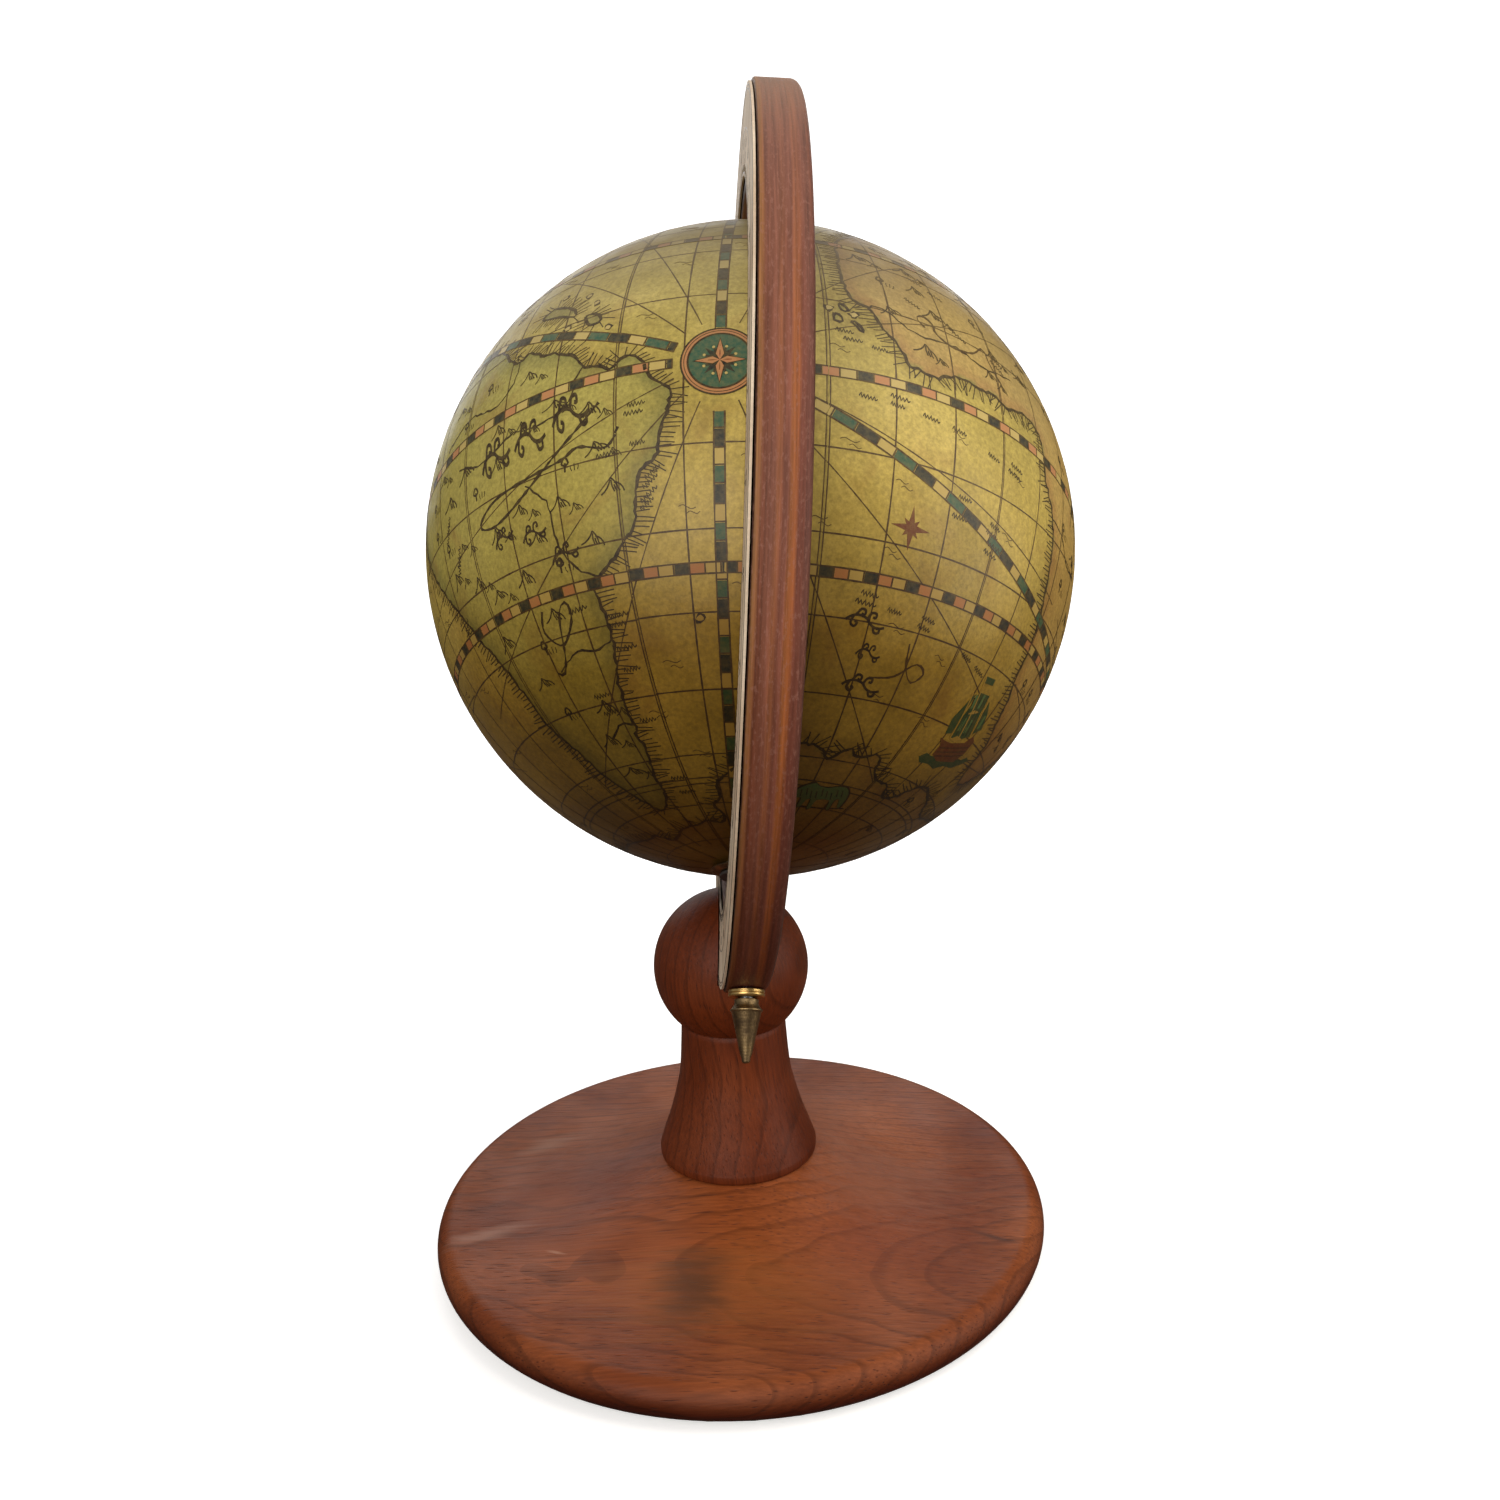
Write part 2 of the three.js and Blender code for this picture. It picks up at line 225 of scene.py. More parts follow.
def make_floor():
    """A pale paper sweep: a flat floor that bends up behind the object."""
    section = [(-FLOOR_SIZE / 2, 0), (FLOOR_BEHIND, 0)]
    for i in range(1, 25):
        angle = math.radians(90 * i / 24)
        section.append((FLOOR_BEHIND + FLOOR_BEND_R * math.sin(angle), FLOOR_BEND_R * (1 - math.cos(angle))))
    section.append((FLOOR_BEHIND + FLOOR_BEND_R, FLOOR_SIZE / 2))
    points = [(side * FLOOR_SIZE / 2 * MM, y * MM, z * MM) for y, z in section for side in (-1, 1)]
    faces = [(2 * i, 2 * i + 1, 2 * i + 3, 2 * i + 2) for i in range(len(section) - 1)]
    mesh = bpy.data.meshes.new("floor")
    mesh.from_pydata(points, [], faces)
    mesh.shade_smooth()
    floor = place_in_scene("floor", mesh)
    finish = bpy.data.materials.new("matt_white_sweep")
    tree = shader_tree(finish)
    # To the camera the sweep is white: a diffuse sheet with a painted glow, weaker near the object so that
    # shadows show there.
    # To all other rays it is a dim grey-brown that gives back only some of the light, as a sweep in a dim
    # room does.
    seen = add(tree, "ShaderNodeLightPath")
    sheet = add(tree, "ShaderNodeBsdfDiffuse", None, {"Color": "#ffffff"})
    place = add(tree, "ShaderNodeTexCoord")
    away = add(tree, "ShaderNodeVectorMath", {"operation": "LENGTH"}, {0: place.outputs["Object"]})
    # The painted glow is weakest near the object and reaches full strength some 0.8 m away.
    far = add(tree, "ShaderNodeMapRange", {"interpolation_type": "SMOOTHSTEP"}, {
        "Value": away, "From Min": 0.12, "From Max": 0.8, "To Min": 0.42, "To Max": 1.0,
    })
    lit = add(tree, "ShaderNodeEmission", None, {"Color": "#ffffff", "Strength": far})
    pale = add(tree, "ShaderNodeAddShader", None, {0: sheet, 1: lit})
    dim = add(tree, "ShaderNodeBsdfDiffuse", None, {"Color": "#6a6058"})
    mix = add(tree, "ShaderNodeMixShader", None, {0: seen, 1: dim, 2: pale})
    add(tree, "ShaderNodeOutputMaterial", None, {"Surface": mix})
    mesh.materials.append(finish)


place_camera()
make_studio()
make_floor()

# ---------------------------------------------------------------- materials

A, B = 6, 7  # a Mix node's colour sockets
BLEND = {"data_type": "RGBA"}
STAIN = {"data_type": "RGBA", "blend_type": "MULTIPLY"}
EASED = {"interpolation_type": "SMOOTHSTEP"}
WAVE_MM = math.pi / 10  # a Wave texture's scale for waves 1 mm apart
MARK_HEIGHT, MARK_REACH = 14.0, 60.0  # marks on the base pass through its whole height


def new_finish(name):
    """An empty material with its Principled shader: (material, tree, shader, object coordinates in mm)."""
    finish = bpy.data.materials.new(name)
    tree = shader_tree(finish)
    shader = add(tree, "ShaderNodeBsdfPrincipled")
    add(tree, "ShaderNodeOutputMaterial", None, {"Surface": shader})
    place = add(tree, "ShaderNodeTexCoord")
    mm = add(tree, "ShaderNodeVectorMath", {"operation": "SCALE"}, {
        0: place.outputs["Object"], "Scale": 1 / MM,
    })
    return finish, tree, shader, mm


def relief(tree, shader, *layers):
    """Raises the surface by height maps, each with its real depth in mm, one on top of another."""
    below = {}
    for height, depth_mm in layers:
        inputs = {"Height": height, "Distance": depth_mm * MM, "Strength": 1.0, **below}
        below = {"Normal": add(tree, "ShaderNodeBump", None, inputs)}
    feed(tree, shader, below)


def wood(name, pith, lean, ring_mm, dark, mid, light, marks=()):
    """Red-brown stained and oiled hardwood, cut from a log whose pith is a line along X of the mapping.

    Growth rings show as arches and lines where the turning cuts them, with short dark pores along
    the grain. The oil leaves a satin sheen that varies, and handling leaves pale scuffs and smudges.
    Some broad pale marks are painted sheen.
    marks are (x, y, half width, half length, turn, colour, strength) on the surface, in mm.
    """
    finish, tree, shader, mm = new_finish(name)
    log = add(tree, "ShaderNodeMapping", {"vector_type": "TEXTURE"}, {
        "Vector": mm, "Location": pith, "Rotation": [math.radians(a) for a in lean],
    })
    # The log isn't quite round, so its rings wander over some 20 mm.
    wander = add(tree, "ShaderNodeTexNoise", None, {"Vector": log, "Scale": 0.028, "Detail": 2.0})
    push = add(tree, "ShaderNodeVectorMath", {"operation": "MULTIPLY_ADD"}, {
        0: wander.outputs["Color"], 1: (0, 9, 9), 2: log,
    })
    rings = add(tree, "ShaderNodeTexWave", {
        "wave_type": "RINGS", "rings_direction": "X", "wave_profile": "SAW",
    }, {
        "Vector": push, "Scale": WAVE_MM / ring_mm, "Distortion": 0.6, "Detail": 2.0, "Detail Scale": 0.6,
    })
    late_wood = add(tree, "ShaderNodeValToRGB", {
        "stops": [(0.0, "#ffffff"), (0.76, "#eeeeee"), (0.92, "#4c4c4c"), (1.0, "#a8a8a8")],
    }, {"Fac": rings.outputs["Fac"]})
    # Fibres and pores: noise drawn out some 25 times along the log.
    along = add(tree, "ShaderNodeMapping", None, {"Vector": log, "Scale": (0.04, 1.0, 1.0)})
    fibre = add(tree, "ShaderNodeTexNoise", None, {
        "Vector": along, "Scale": 1.3, "Detail": 5.0, "Roughness": 0.65,
    })
    pores = add(tree, "ShaderNodeTexVoronoi", {"feature": "F1"}, {"Vector": along, "Scale": 1.5})
    pore = add(tree, "ShaderNodeMapRange", None, {
        "Value": pores, "From Min": 0.12, "From Max": 0.26, "To Min": 0.0, "To Max": 1.0,
    })
    patch = add(tree, "ShaderNodeTexNoise", None, {"Vector": log, "Scale": 0.022, "Detail": 3.0})
    tone = add(tree, "ShaderNodeValToRGB", {"stops": [(0.3, dark), (0.5, mid), (0.72, light)]}, {
        "Fac": patch,
    })
    ringed = add(tree, "ShaderNodeMix", STAIN, {0: 0.34, A: tone, B: late_wood})
    streak = add(tree, "ShaderNodeMapRange", None, {
        "Value": fibre, "From Min": 0.3, "From Max": 0.7, "To Min": 0.72, "To Max": 1.22,
    })
    streaked = add(tree, "ShaderNodeMix", STAIN, {0: 1.0, A: ringed, B: streak})
    pored = add(tree, "ShaderNodeMix", BLEND, {0: pore, A: "#3c1a10", B: streaked})
    colour = add(tree, "ShaderNodeMix", BLEND, {0: 0.65, A: streaked, B: pored})
    for x, y, half_x, half_y, turn, tint, strength in marks:
        spot = add(tree, "ShaderNodeMapping", {"vector_type": "TEXTURE"}, {
            "Vector": mm, "Location": (x, y, MARK_HEIGHT), "Rotation": (0, 0, math.radians(turn)),
            "Scale": (half_x, half_y, MARK_REACH),
        })
        away = add(tree, "ShaderNodeVectorMath", {"operation": "LENGTH"}, {0: spot})
        ragged = add(tree, "ShaderNodeTexNoise", None, {"Vector": along, "Scale": 0.5, "Detail": 3.0})
        edge = add(tree, "ShaderNodeMath", {"operation": "MULTIPLY_ADD"}, {0: ragged, 1: 1.6, 2: away})
        fade = add(tree, "ShaderNodeMapRange", EASED, {
            "Value": edge, "From Min": 0.9, "From Max": 2.1, "To Min": strength, "To Max": 0.0,
        })
        colour = add(tree, "ShaderNodeMix", BLEND, {0: fade, A: colour, B: tint})
    # The wood is darker towards the bottom of the base, most of all on the rim.
    height = add(tree, "ShaderNodeSeparateXYZ", None, {0: mm}).outputs["Z"]
    rim = add(tree, "ShaderNodeMapRange", EASED, {
        "Value": height, "From Min": 4.0, "From Max": 13.6, "To Min": 1.0, "To Max": 0.0,
    })
    sheen = add(tree, "ShaderNodeTexNoise", None, {"Vector": mm, "Scale": 0.05, "Detail": 4.0})
    feed(tree, shader, {
        "Base Color": add(tree, "ShaderNodeMix", STAIN, {0: rim, A: colour, B: "#704636"}),
        "Roughness": add(tree, "ShaderNodeMapRange", None, {
            "Value": sheen, "From Min": 0.3, "From Max": 0.7, "To Min": 0.4, "To Max": 0.58,
        }),
        "Specular IOR Level": 0.17,
    })
    relief(tree, shader, (fibre, 0.12), (pore, 0.05))
    return finish


def aged(tree, colour, mm):
    """Yellowed varnish over the whole map, and painted shade that darkens it to brown towards the south pole;
    it is greyer and darker towards the north pole.
    """
    rise = add(tree, "ShaderNodeVectorMath", {"operation": "SUBTRACT"}, {0: mm, 1: tuple(CENTRE)})
    height = add(tree, "ShaderNodeVectorMath", {"operation": "DOT_PRODUCT"}, {
        0: rise, 1: tuple(AXIS / GLOBE_R),
    })
    blot = add(tree, "ShaderNodeTexNoise", None, {"Vector": mm, "Scale": 0.03, "Detail": 3.0})
    level = add(tree, "ShaderNodeMath", {"operation": "MULTIPLY_ADD"}, {0: blot, 1: 0.5, 2: height})
    share = add(tree, "ShaderNodeMapRange", None, {"Value": level, "From Min": -0.8, "From Max": 1.1})
    # Painted shade: multiplied in, this ramp darkens the map to brown towards the south pole; near the
    # equator it gives only the varnish's faint yellowing.
    brown = add(tree, "ShaderNodeValToRGB", {
        "stops": [(0.0, "#58401c"), (0.2, "#a8905a"), (0.42, "#eee4c6"), (0.7, "#ffffff")],
    }, {"Fac": share})
    browned = add(tree, "ShaderNodeMix", STAIN, {0: 1.0, A: colour, B: brown})
    # Greyer and darker towards the north pole.
    greyed_north = add(tree, "ShaderNodeMapRange", EASED, {
        "Value": level, "From Min": 0.2, "From Max": 0.95, "To Min": 0.0, "To Max": 0.76,
    })
    return add(tree, "ShaderNodeMix", BLEND, {0: greyed_north, A: browned, B: "#6c5c3e"})


def varnish(tree, shader, mm, colour):
    """Brushed-on clear varnish: fairly glossy, with faint orange peel and paper fibre under it."""
    peel = add(tree, "ShaderNodeTexNoise", None, {"Vector": mm, "Scale": 0.22, "Detail": 2.0})
    fibre = add(tree, "ShaderNodeTexNoise", None, {"Vector": mm, "Scale": 2.2, "Detail": 3.0})
    worn = add(tree, "ShaderNodeTexNoise", None, {"Vector": mm, "Scale": 0.12, "Detail": 5.0})
    feed(tree, shader, {
        # The base colour carries the painted shade towards the south pole.
        "Base Color": aged(tree, colour, mm),
        "Roughness": add(tree, "ShaderNodeMapRange", None, {
            "Value": worn, "From Min": 0.3, "From Max": 0.75, "To Min": 0.34, "To Max": 0.5,
        }),
        "Specular IOR Level": 0.28,
    })
    relief(tree, shader, (peel, 0.12), (fibre, 0.02))


def map_paper():
    """Varnished printed paper: olive-buff seas, pinkish and green-grey land washes, fibrous and foxed."""
    finish, tree, shader, mm = new_finish("varnished_map_paper")
    inland = add(tree, "ShaderNodeAttribute", {"attribute_name": "inland"}).outputs["Fac"]
    pink = add(tree, "ShaderNodeAttribute", {"attribute_name": "pink_wash"}).outputs["Fac"]
    blot = add(tree, "ShaderNodeTexNoise", None, {
        "Vector": mm, "Scale": 0.045, "Detail": 5.0, "Roughness": 0.6,
    })
    sea = add(tree, "ShaderNodeValToRGB", {
        "stops": [(0.3, "#a6964c"), (0.5, "#b9a85a"), (0.7, "#c8b66a")],
    }, {"Fac": blot})
    land_tint = add(tree, "ShaderNodeMix", BLEND, {0: pink, A: "#a3a158", B: "#b2955c"})
    on_land = add(tree, "ShaderNodeMapRange", None, {
        "Value": inland, "From Min": -0.2, "From Max": 0.2, "To Min": 0.0, "To Max": 0.72,
    })
    ground = add(tree, "ShaderNodeMix", BLEND, {0: on_land, A: sea, B: land_tint})
    # A darker wash is brushed along the coast, some 4 mm wide inland and 2.5 mm out to sea.
    ragged = add(tree, "ShaderNodeTexNoise", None, {"Vector": mm, "Scale": 0.3, "Detail": 3.0})
    from_coast = add(tree, "ShaderNodeMath", {"operation": "MULTIPLY_ADD"}, {0: ragged, 1: 2.4, 2: inland})
    inner = add(tree, "ShaderNodeMapRange", EASED, {
        "Value": from_coast, "From Min": 1.2, "From Max": 6.0, "To Min": 0.62, "To Max": 0.0,
    })
    inner_only = add(tree, "ShaderNodeMath", {"operation": "MULTIPLY"}, {0: inner, 1: on_land})
    wash_tint = add(tree, "ShaderNodeMix", BLEND, {0: pink, A: "#4c5c38", B: "#916440"})
    washed = add(tree, "ShaderNodeMix", BLEND, {0: inner_only, A: ground, B: wash_tint})
    out_to_sea = add(tree, "ShaderNodeMapRange", EASED, {
        "Value": from_coast, "From Min": -2.6, "From Max": 1.0, "To Min": 0.0, "To Max": 0.28,
    })
    sea_only = add(tree, "ShaderNodeMath", {"operation": "SUBTRACT", "use_clamp": True}, {
        0: out_to_sea, 1: on_land,
    })
    shored = add(tree, "ShaderNodeMix", BLEND, {0: sea_only, A: washed, B: "#6f5c38"})
    fibre = add(tree, "ShaderNodeTexNoise", None, {
        "Vector": mm, "Scale": 1.1, "Detail": 4.0, "Roughness": 0.7,
    })
    mottle = add(tree, "ShaderNodeMapRange", None, {
        "Value": fibre, "From Min": 0.32, "From Max": 0.68, "To Min": 0.72, "To Max": 1.2,
    })
    mottled = add(tree, "ShaderNodeMix", STAIN, {0: 1.0, A: shored, B: mottle})
    fox = add(tree, "ShaderNodeTexNoise", None, {
        "Vector": mm, "Scale": 0.075, "Detail": 6.0, "Distortion": 0.6,
    })
    foxing = add(tree, "ShaderNodeMapRange", None, {
        "Value": fox, "From Min": 0.56, "From Max": 0.74, "To Min": 0.0, "To Max": 0.4,
    })
    varnish(tree, shader, mm, add(tree, "ShaderNodeMix", BLEND, {0: foxing, A: mottled, B: "#8a6434"}))
    return finish


def ink(name, colour, thin):
    """Printing ink on the map under the varnish, thin enough in places for the paper to show."""
    finish, tree, shader, mm = new_finish(name)
    wear = add(tree, "ShaderNodeTexNoise", None, {
        "Vector": mm, "Scale": 0.9, "Detail": 4.0, "Roughness": 0.7,
    })
    share = add(tree, "ShaderNodeMapRange", None, {
        "Value": wear, "From Min": 0.35, "From Max": 0.75, "To Min": 0.0, "To Max": thin,
    })
    varnish(tree, shader, mm, add(tree, "ShaderNodeMix", BLEND, {0: share, A: colour, B: "#a8955a"}))
    return finish


def ring_wood():
    """Strips of red-brown stained beech, bent and glued side by side: streaks run round the ring.

    The attribute grain holds (across the ring, out from its centre, along its edge) in mm.
    """
    finish, tree, shader, mm = new_finish("bent_laminated_beech_red_stain")
    grain = add(tree, "ShaderNodeAttribute", {"attribute_name": "grain"}).outputs["Vector"]
    split = add(tree, "ShaderNodeSeparateXYZ", None, {0: grain})
    height = add(tree, "ShaderNodeSeparateXYZ", None, {0: mm}).outputs["Z"]
    # Three patterns drawn out along the grain: slow waves, long streaks and short flecks.
    slow, long, short = (
        add(tree, "ShaderNodeVectorMath", {"operation": "MULTIPLY"}, {0: grain, 1: per_mm})
        for per_mm in ((0.1, 0.1, 0.02), (1.7, 1.7, 0.035), (1.6, 1.6, 0.7))
    )
    wobble = add(tree, "ShaderNodeTexNoise", None, {"Vector": slow, "Scale": 1.0, "Detail": 2.0})
    streaks = add(tree, "ShaderNodeTexNoise", None, {
        "Vector": long, "Scale": 1.0, "Detail": 5.0, "Roughness": 0.65,
    })
    flecks = add(tree, "ShaderNodeTexNoise", None, {
        "Vector": short, "Scale": 1.0, "Detail": 4.0, "Roughness": 0.7,
    })
    # One strip of the lamination after another, from the left face to the right one.
    across = add(tree, "ShaderNodeMath", {"operation": "MULTIPLY_ADD"}, {0: wobble, 1: 0.9, 2: split})
    strip = add(tree, "ShaderNodeMapRange", None, {
        "Value": across, "From Min": RING_LEFT, "From Max": RING_RIGHT + 0.9,
    })
    strips = add(tree, "ShaderNodeValToRGB", {"stops": [
        (0.00, "#27120a"), (0.05, "#30160c"), (0.07, "#885d36"), (0.13, "#835433"), (0.17, "#693b28"),
        (0.34, "#764837"), (0.42, "#845033"), (0.5, "#6f4131"), (0.57, "#784838"), (0.62, "#93572f"),
        (0.7, "#8c502c"), (0.75, "#693b2d"), (0.9, "#62392d"), (0.96, "#492c21"), (1.0, "#3e251c"),
    ]}, {"Fac": strip})
    # Up where the ring is handled, the stain has worn to one even brown.
    worn = add(tree, "ShaderNodeMapRange", EASED, {
        "Value": height, "From Min": 205.0, "From Max": 262.0, "To Min": 0.0, "To Max": 0.78,
    })
    inner_strips = add(tree, "ShaderNodeMapRange", None, {
        "Value": across, "From Min": RING_LEFT + 1.2, "From Max": RING_LEFT + 1.8,
    })
    worn_share = add(tree, "ShaderNodeMath", {"operation": "MULTIPLY"}, {0: worn, 1: inner_strips})
    evened = add(tree, "ShaderNodeMix", BLEND, {0: worn_share, A: strips, B: "#72493a"})
    streak = add(tree, "ShaderNodeMapRange", None, {
        "Value": streaks, "From Min": 0.3, "From Max": 0.7, "To Min": 0.62, "To Max": 1.4,
    })
    streaked = add(tree, "ShaderNodeMix", STAIN, {0: 1.0, A: evened, B: streak})
    fleck = add(tree, "ShaderNodeMapRange", None, {
        "Value": flecks, "From Min": 0.52, "From Max": 0.66, "To Min": 0.0, "To Max": 0.42,
    })
    flecked = add(tree, "ShaderNodeMix", BLEND, {0: fleck, A: streaked, B: "#94685a"})
    # The ring is darker and redder low down, and paler and greyer towards the top.
    low = add(tree, "ShaderNodeMapRange", EASED, {
        "Value": height, "From Min": 75.0, "From Max": 185.0, "To Min": 0.72, "To Max": 0.0,
    })
    deep = add(tree, "ShaderNodeMix", STAIN, {0: low, A: flecked, B: "#8c4c30"})
    paler_top = add(tree, "ShaderNodeMapRange", EASED, {
        "Value": height, "From Min": 255.0, "From Max": 292.0, "To Min": 0.0, "To Max": 0.45,
    })
    feed(tree, shader, {
        "Base Color": add(tree, "ShaderNodeMix", BLEND, {0: paler_top, A: deep, B: "#a08468"}),
        "Roughness": add(tree, "ShaderNodeMapRange", None, {
            "Value": flecks, "From Min": 0.3, "From Max": 0.7, "To Min": 0.42, "To Max": 0.6,
        }),
        "Specular IOR Level": 0.17,
    })
    relief(tree, shader, (streaks, 0.14), (flecks, 0.08))
    return finish


def scale_paper():
    """Uncoated cream paper, with patchy stains and mottled by its fibres."""
    finish, tree, shader, mm = new_finish("aged_scale_paper")
    fibre = add(tree, "ShaderNodeTexNoise", None, {
        "Vector": mm, "Scale": 0.9, "Detail": 5.0, "Roughness": 0.7,
    })
    stain = add(tree, "ShaderNodeTexNoise", None, {"Vector": mm, "Scale": 0.05, "Detail": 4.0})
    paper = add(tree, "ShaderNodeValToRGB", {
        "stops": [(0.3, "#bda58a"), (0.5, "#d2bea4"), (0.7, "#e4d4bc")],
    }, {"Fac": stain})
    mottle = add(tree, "ShaderNodeMapRange", None, {
        "Value": fibre, "From Min": 0.3, "From Max": 0.7, "To Min": 0.85, "To Max": 1.1,
    })
    mixed = add(tree, "ShaderNodeMix", STAIN, {0: 1.0, A: paper, B: mottle})
    feed(tree, shader, {"Base Color": mixed, "Roughness": 0.7})
    relief(tree, shader, (fibre, 0.03))
    return finish


def metal(name, bright, dull, tarnish, lathe_mm, roughness):
    """A turned metal: fine lathe rings round the axle, and a tarnish that lies in patches."""
    finish, tree, shader, mm = new_finish(name)
    cloud = add(tree, "ShaderNodeTexNoise", None, {
        "Vector": mm, "Scale": 0.35, "Detail": 5.0, "Roughness": 0.65,
    })
    cover = add(tree, "ShaderNodeMapRange", None, {
        "Value": cloud, "From Min": 0.62 - tarnish * 0.4, "From Max": 0.75 - tarnish * 0.2,
    })
    back = (Matrix.Rotation(TILT, 4, "X") @ Matrix.Rotation(-LEAN, 4, "Y")).to_euler()
    lathe = add(tree, "ShaderNodeMapping", None, {"Vector": mm, "Rotation": tuple(back)})
    rings = add(tree, "ShaderNodeTexWave", {"wave_type": "BANDS", "bands_direction": "Z"}, {
        "Vector": lathe, "Scale": WAVE_MM / lathe_mm, "Distortion": 0.4, "Detail": 2.0,
    })
    feed(tree, shader, {
        "Base Color": add(tree, "ShaderNodeMix", BLEND, {0: cover, A: bright, B: dull}),
        "Roughness": add(tree, "ShaderNodeMapRange", None, {
            "Value": cloud, "From Min": 0.3, "From Max": 0.7, "To Min": roughness, "To Max": roughness + 0.2,
        }),
        "Metallic": 1.0,
    })
    relief(tree, shader, (rings.outputs["Fac"], 0.02))
    return finish


def plain_stuff(name, low, high, grain_mm, depth_mm, roughness, stretch=(1, 1, 1), fuzz=0.0):
    """A dull, mostly hidden material with grain or fibres of one size: card, felt, nylon or raw dowel."""
    finish, tree, shader, mm = new_finish(name)
    drawn = add(tree, "ShaderNodeMapping", None, {"Vector": mm, "Scale": stretch})
    noise = add(tree, "ShaderNodeTexNoise", None, {
        "Vector": drawn, "Scale": 1 / grain_mm, "Detail": 5.0, "Roughness": 0.7,
    })
    colour = add(tree, "ShaderNodeValToRGB", {"stops": [(0.3, low), (0.7, high)]}, {"Fac": noise})
    feed(tree, shader, {"Base Color": colour, "Roughness": roughness, "Sheen Weight": fuzz})
    relief(tree, shader, (noise, depth_mm))
    return finish


ACROSS_RING = RING_PLACE @ Matrix.Rotation(math.pi / 2, 4, "Y")  # its Z runs from left face to right
RING_INNER_R, RING_OUTER_R, RING_LEFT, RING_RIGHT = span("meridian_ring", ACROSS_RING)
RING_OUTER_R -= SHY

WOOD_BASE = wood(
    "oiled_mahogany_flat_sawn", (0, -34, -26), (0, -6, -8), 3.4, "#6c3016", "#854420", "#9a5630",
    marks=[
        (-6, -52, 36, 17, -4, "#93552a", 0.6),
        (-13, -49, 10, 14, 0, "#452c1c", 0.7),
        (34, -38, 26, 24, 20, "#7c3f2a", 0.35),
        (-57, 25, 10, 5, 24, "#a5806c", 0.42),
        (-67, -19, 12, 3.4, 14, "#b58e7c", 0.5),
        (-48, -30.5, 3.0, 0.6, -25, "#bd8f74", 0.5),
        (63, -33, 8, 1.2, -30, "#40261c", 0.7),
        # Painted sheen: two broad pale pinkish patches, on the dish's right and left sides.
        (38, -8, 28, 22, 0, "#8c5a42", 0.45),
        (-46, -4, 30, 26, 0, "#83503e", 0.45),
    ],
)
# The stem and ball are cut from one length of the same wood, with its grain running up.
WOOD_STEM = wood("oiled_mahogany_end_up", (-34, 22, 0), (0, 84, 0), 4.2, "#4c1c08", "#622a10", "#773c20")
WOOD_RING = ring_wood()
MAP_PAPER = map_paper()
INK_BROWN = ink("umber_line_ink", "#432f18", 0.32)
INK_COAST = ink("dark_coast_ink", "#2c2010", 0.25)
INK_BLACK = ink("blue_black_block_ink", "#252a26", 0.25)
INK_GREEN = ink("verdigris_ink", "#2f5a4a", 0.3)
INK_PINK = ink("rose_tint_ink", "#b9815a", 0.35)
INK_CREAM = ink("bare_cream_paper", "#bfac6c", 0.3)
INK_TEAL = ink("pale_teal_ink", "#5f9480", 0.25)
INK_RED = ink("brick_red_ink", "#6d3a20", 0.35)
SCALE_PAPER = scale_paper()
SCALE_INK = ink("scale_ink", "#33261c", 0.3)
# Polished brass is bright yellow with tight highlights. Aged brass is brown, and its highlights are soft.
BRASS_BRIGHT = metal("polished_turned_brass", "#c9a86a", "#8a7040", 0.3, 0.35, 0.22)
BRASS_OLD = metal("aged_turned_brass", "#97805a", "#5c4c38", 0.75, 0.3, 0.34)
# Zinc plating is a pale, even grey with blurred highlights.
STEEL = metal("zinc_plated_steel", "#b9babb", "#8d8f92", 0.3, 0.5, 0.3)
# Moulded nylon is black and almost without texture, with a wide soft sheen.
NYLON = plain_stuff("moulded_black_nylon", "#1f1c1a", "#35302c", 3.0, 0.01, 0.5)
# Raw beech is pale and matt, with fibres that run up the dowel.
BEECH = plain_stuff("raw_beech_dowel", "#b58c60", "#d2a878", 1.2, 0.05, 0.7, (1, 1, 0.06))
# Pressed card is matt and mottled by its short fibres.
CARD = plain_stuff("pressed_grey_card", "#8f7c60", "#b8a382", 1.6, 0.08, 0.9)
# Baize is matt, and its nap catches light at the edges.
FELT = plain_stuff("green_baize_felt", "#2c4430", "#47634a", 0.8, 0.25, 1.0, fuzz=0.6)

# ---------------------------------------------------------------- mesh helpers


def finish_piece(name, mesh, material, body, replaced=(), sharp_deg=38):
    """Puts a mesh in the scene as a piece of the object."""
    mesh.name = name
    mesh.shade_smooth()
    mesh.set_sharp_from_angle(angle=math.radians(sharp_deg))
    mesh.materials.clear()
    mesh.materials.append(material)
    piece = place_in_scene(name, mesh)
    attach(piece, body)
    if replaced:
        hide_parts(*replaced)
    return piece


def mesh_of(points, faces):
    """A mesh in metres from points in millimetres."""
    mesh = bpy.data.meshes.new("piece")
    mesh.from_pydata((np.asarray(points, float) * MM).tolist(), [], faces)
    return mesh


def attribute(mesh, name, values):
    """Keeps a number, or three, for each vertex of a mesh."""
    values = np.asarray(values, np.float32)
    kind, field = ("FLOAT_VECTOR", "vector") if values.ndim == 2 else ("FLOAT", "value")
    mesh.attributes.new(name, kind, "POINT").data.foreach_set(field, values.ravel())


def sleeve(inner, outer, low, high):
    """The square profile of a tube, a ring or, with no inner radius, a rod."""
    return [(inner, low), (outer, low), (outer, high), (inner, high)]


def eased_sleeve(inner, outer, low, high, edge):
    """A sleeve's profile with its outer corners rounded."""
    return [
        (inner, low), *arc(outer - edge, low + edge, edge, -90, 0, 4),
        *arc(outer - edge, high - edge, edge, 0, 90, 4), (inner, high),
    ]


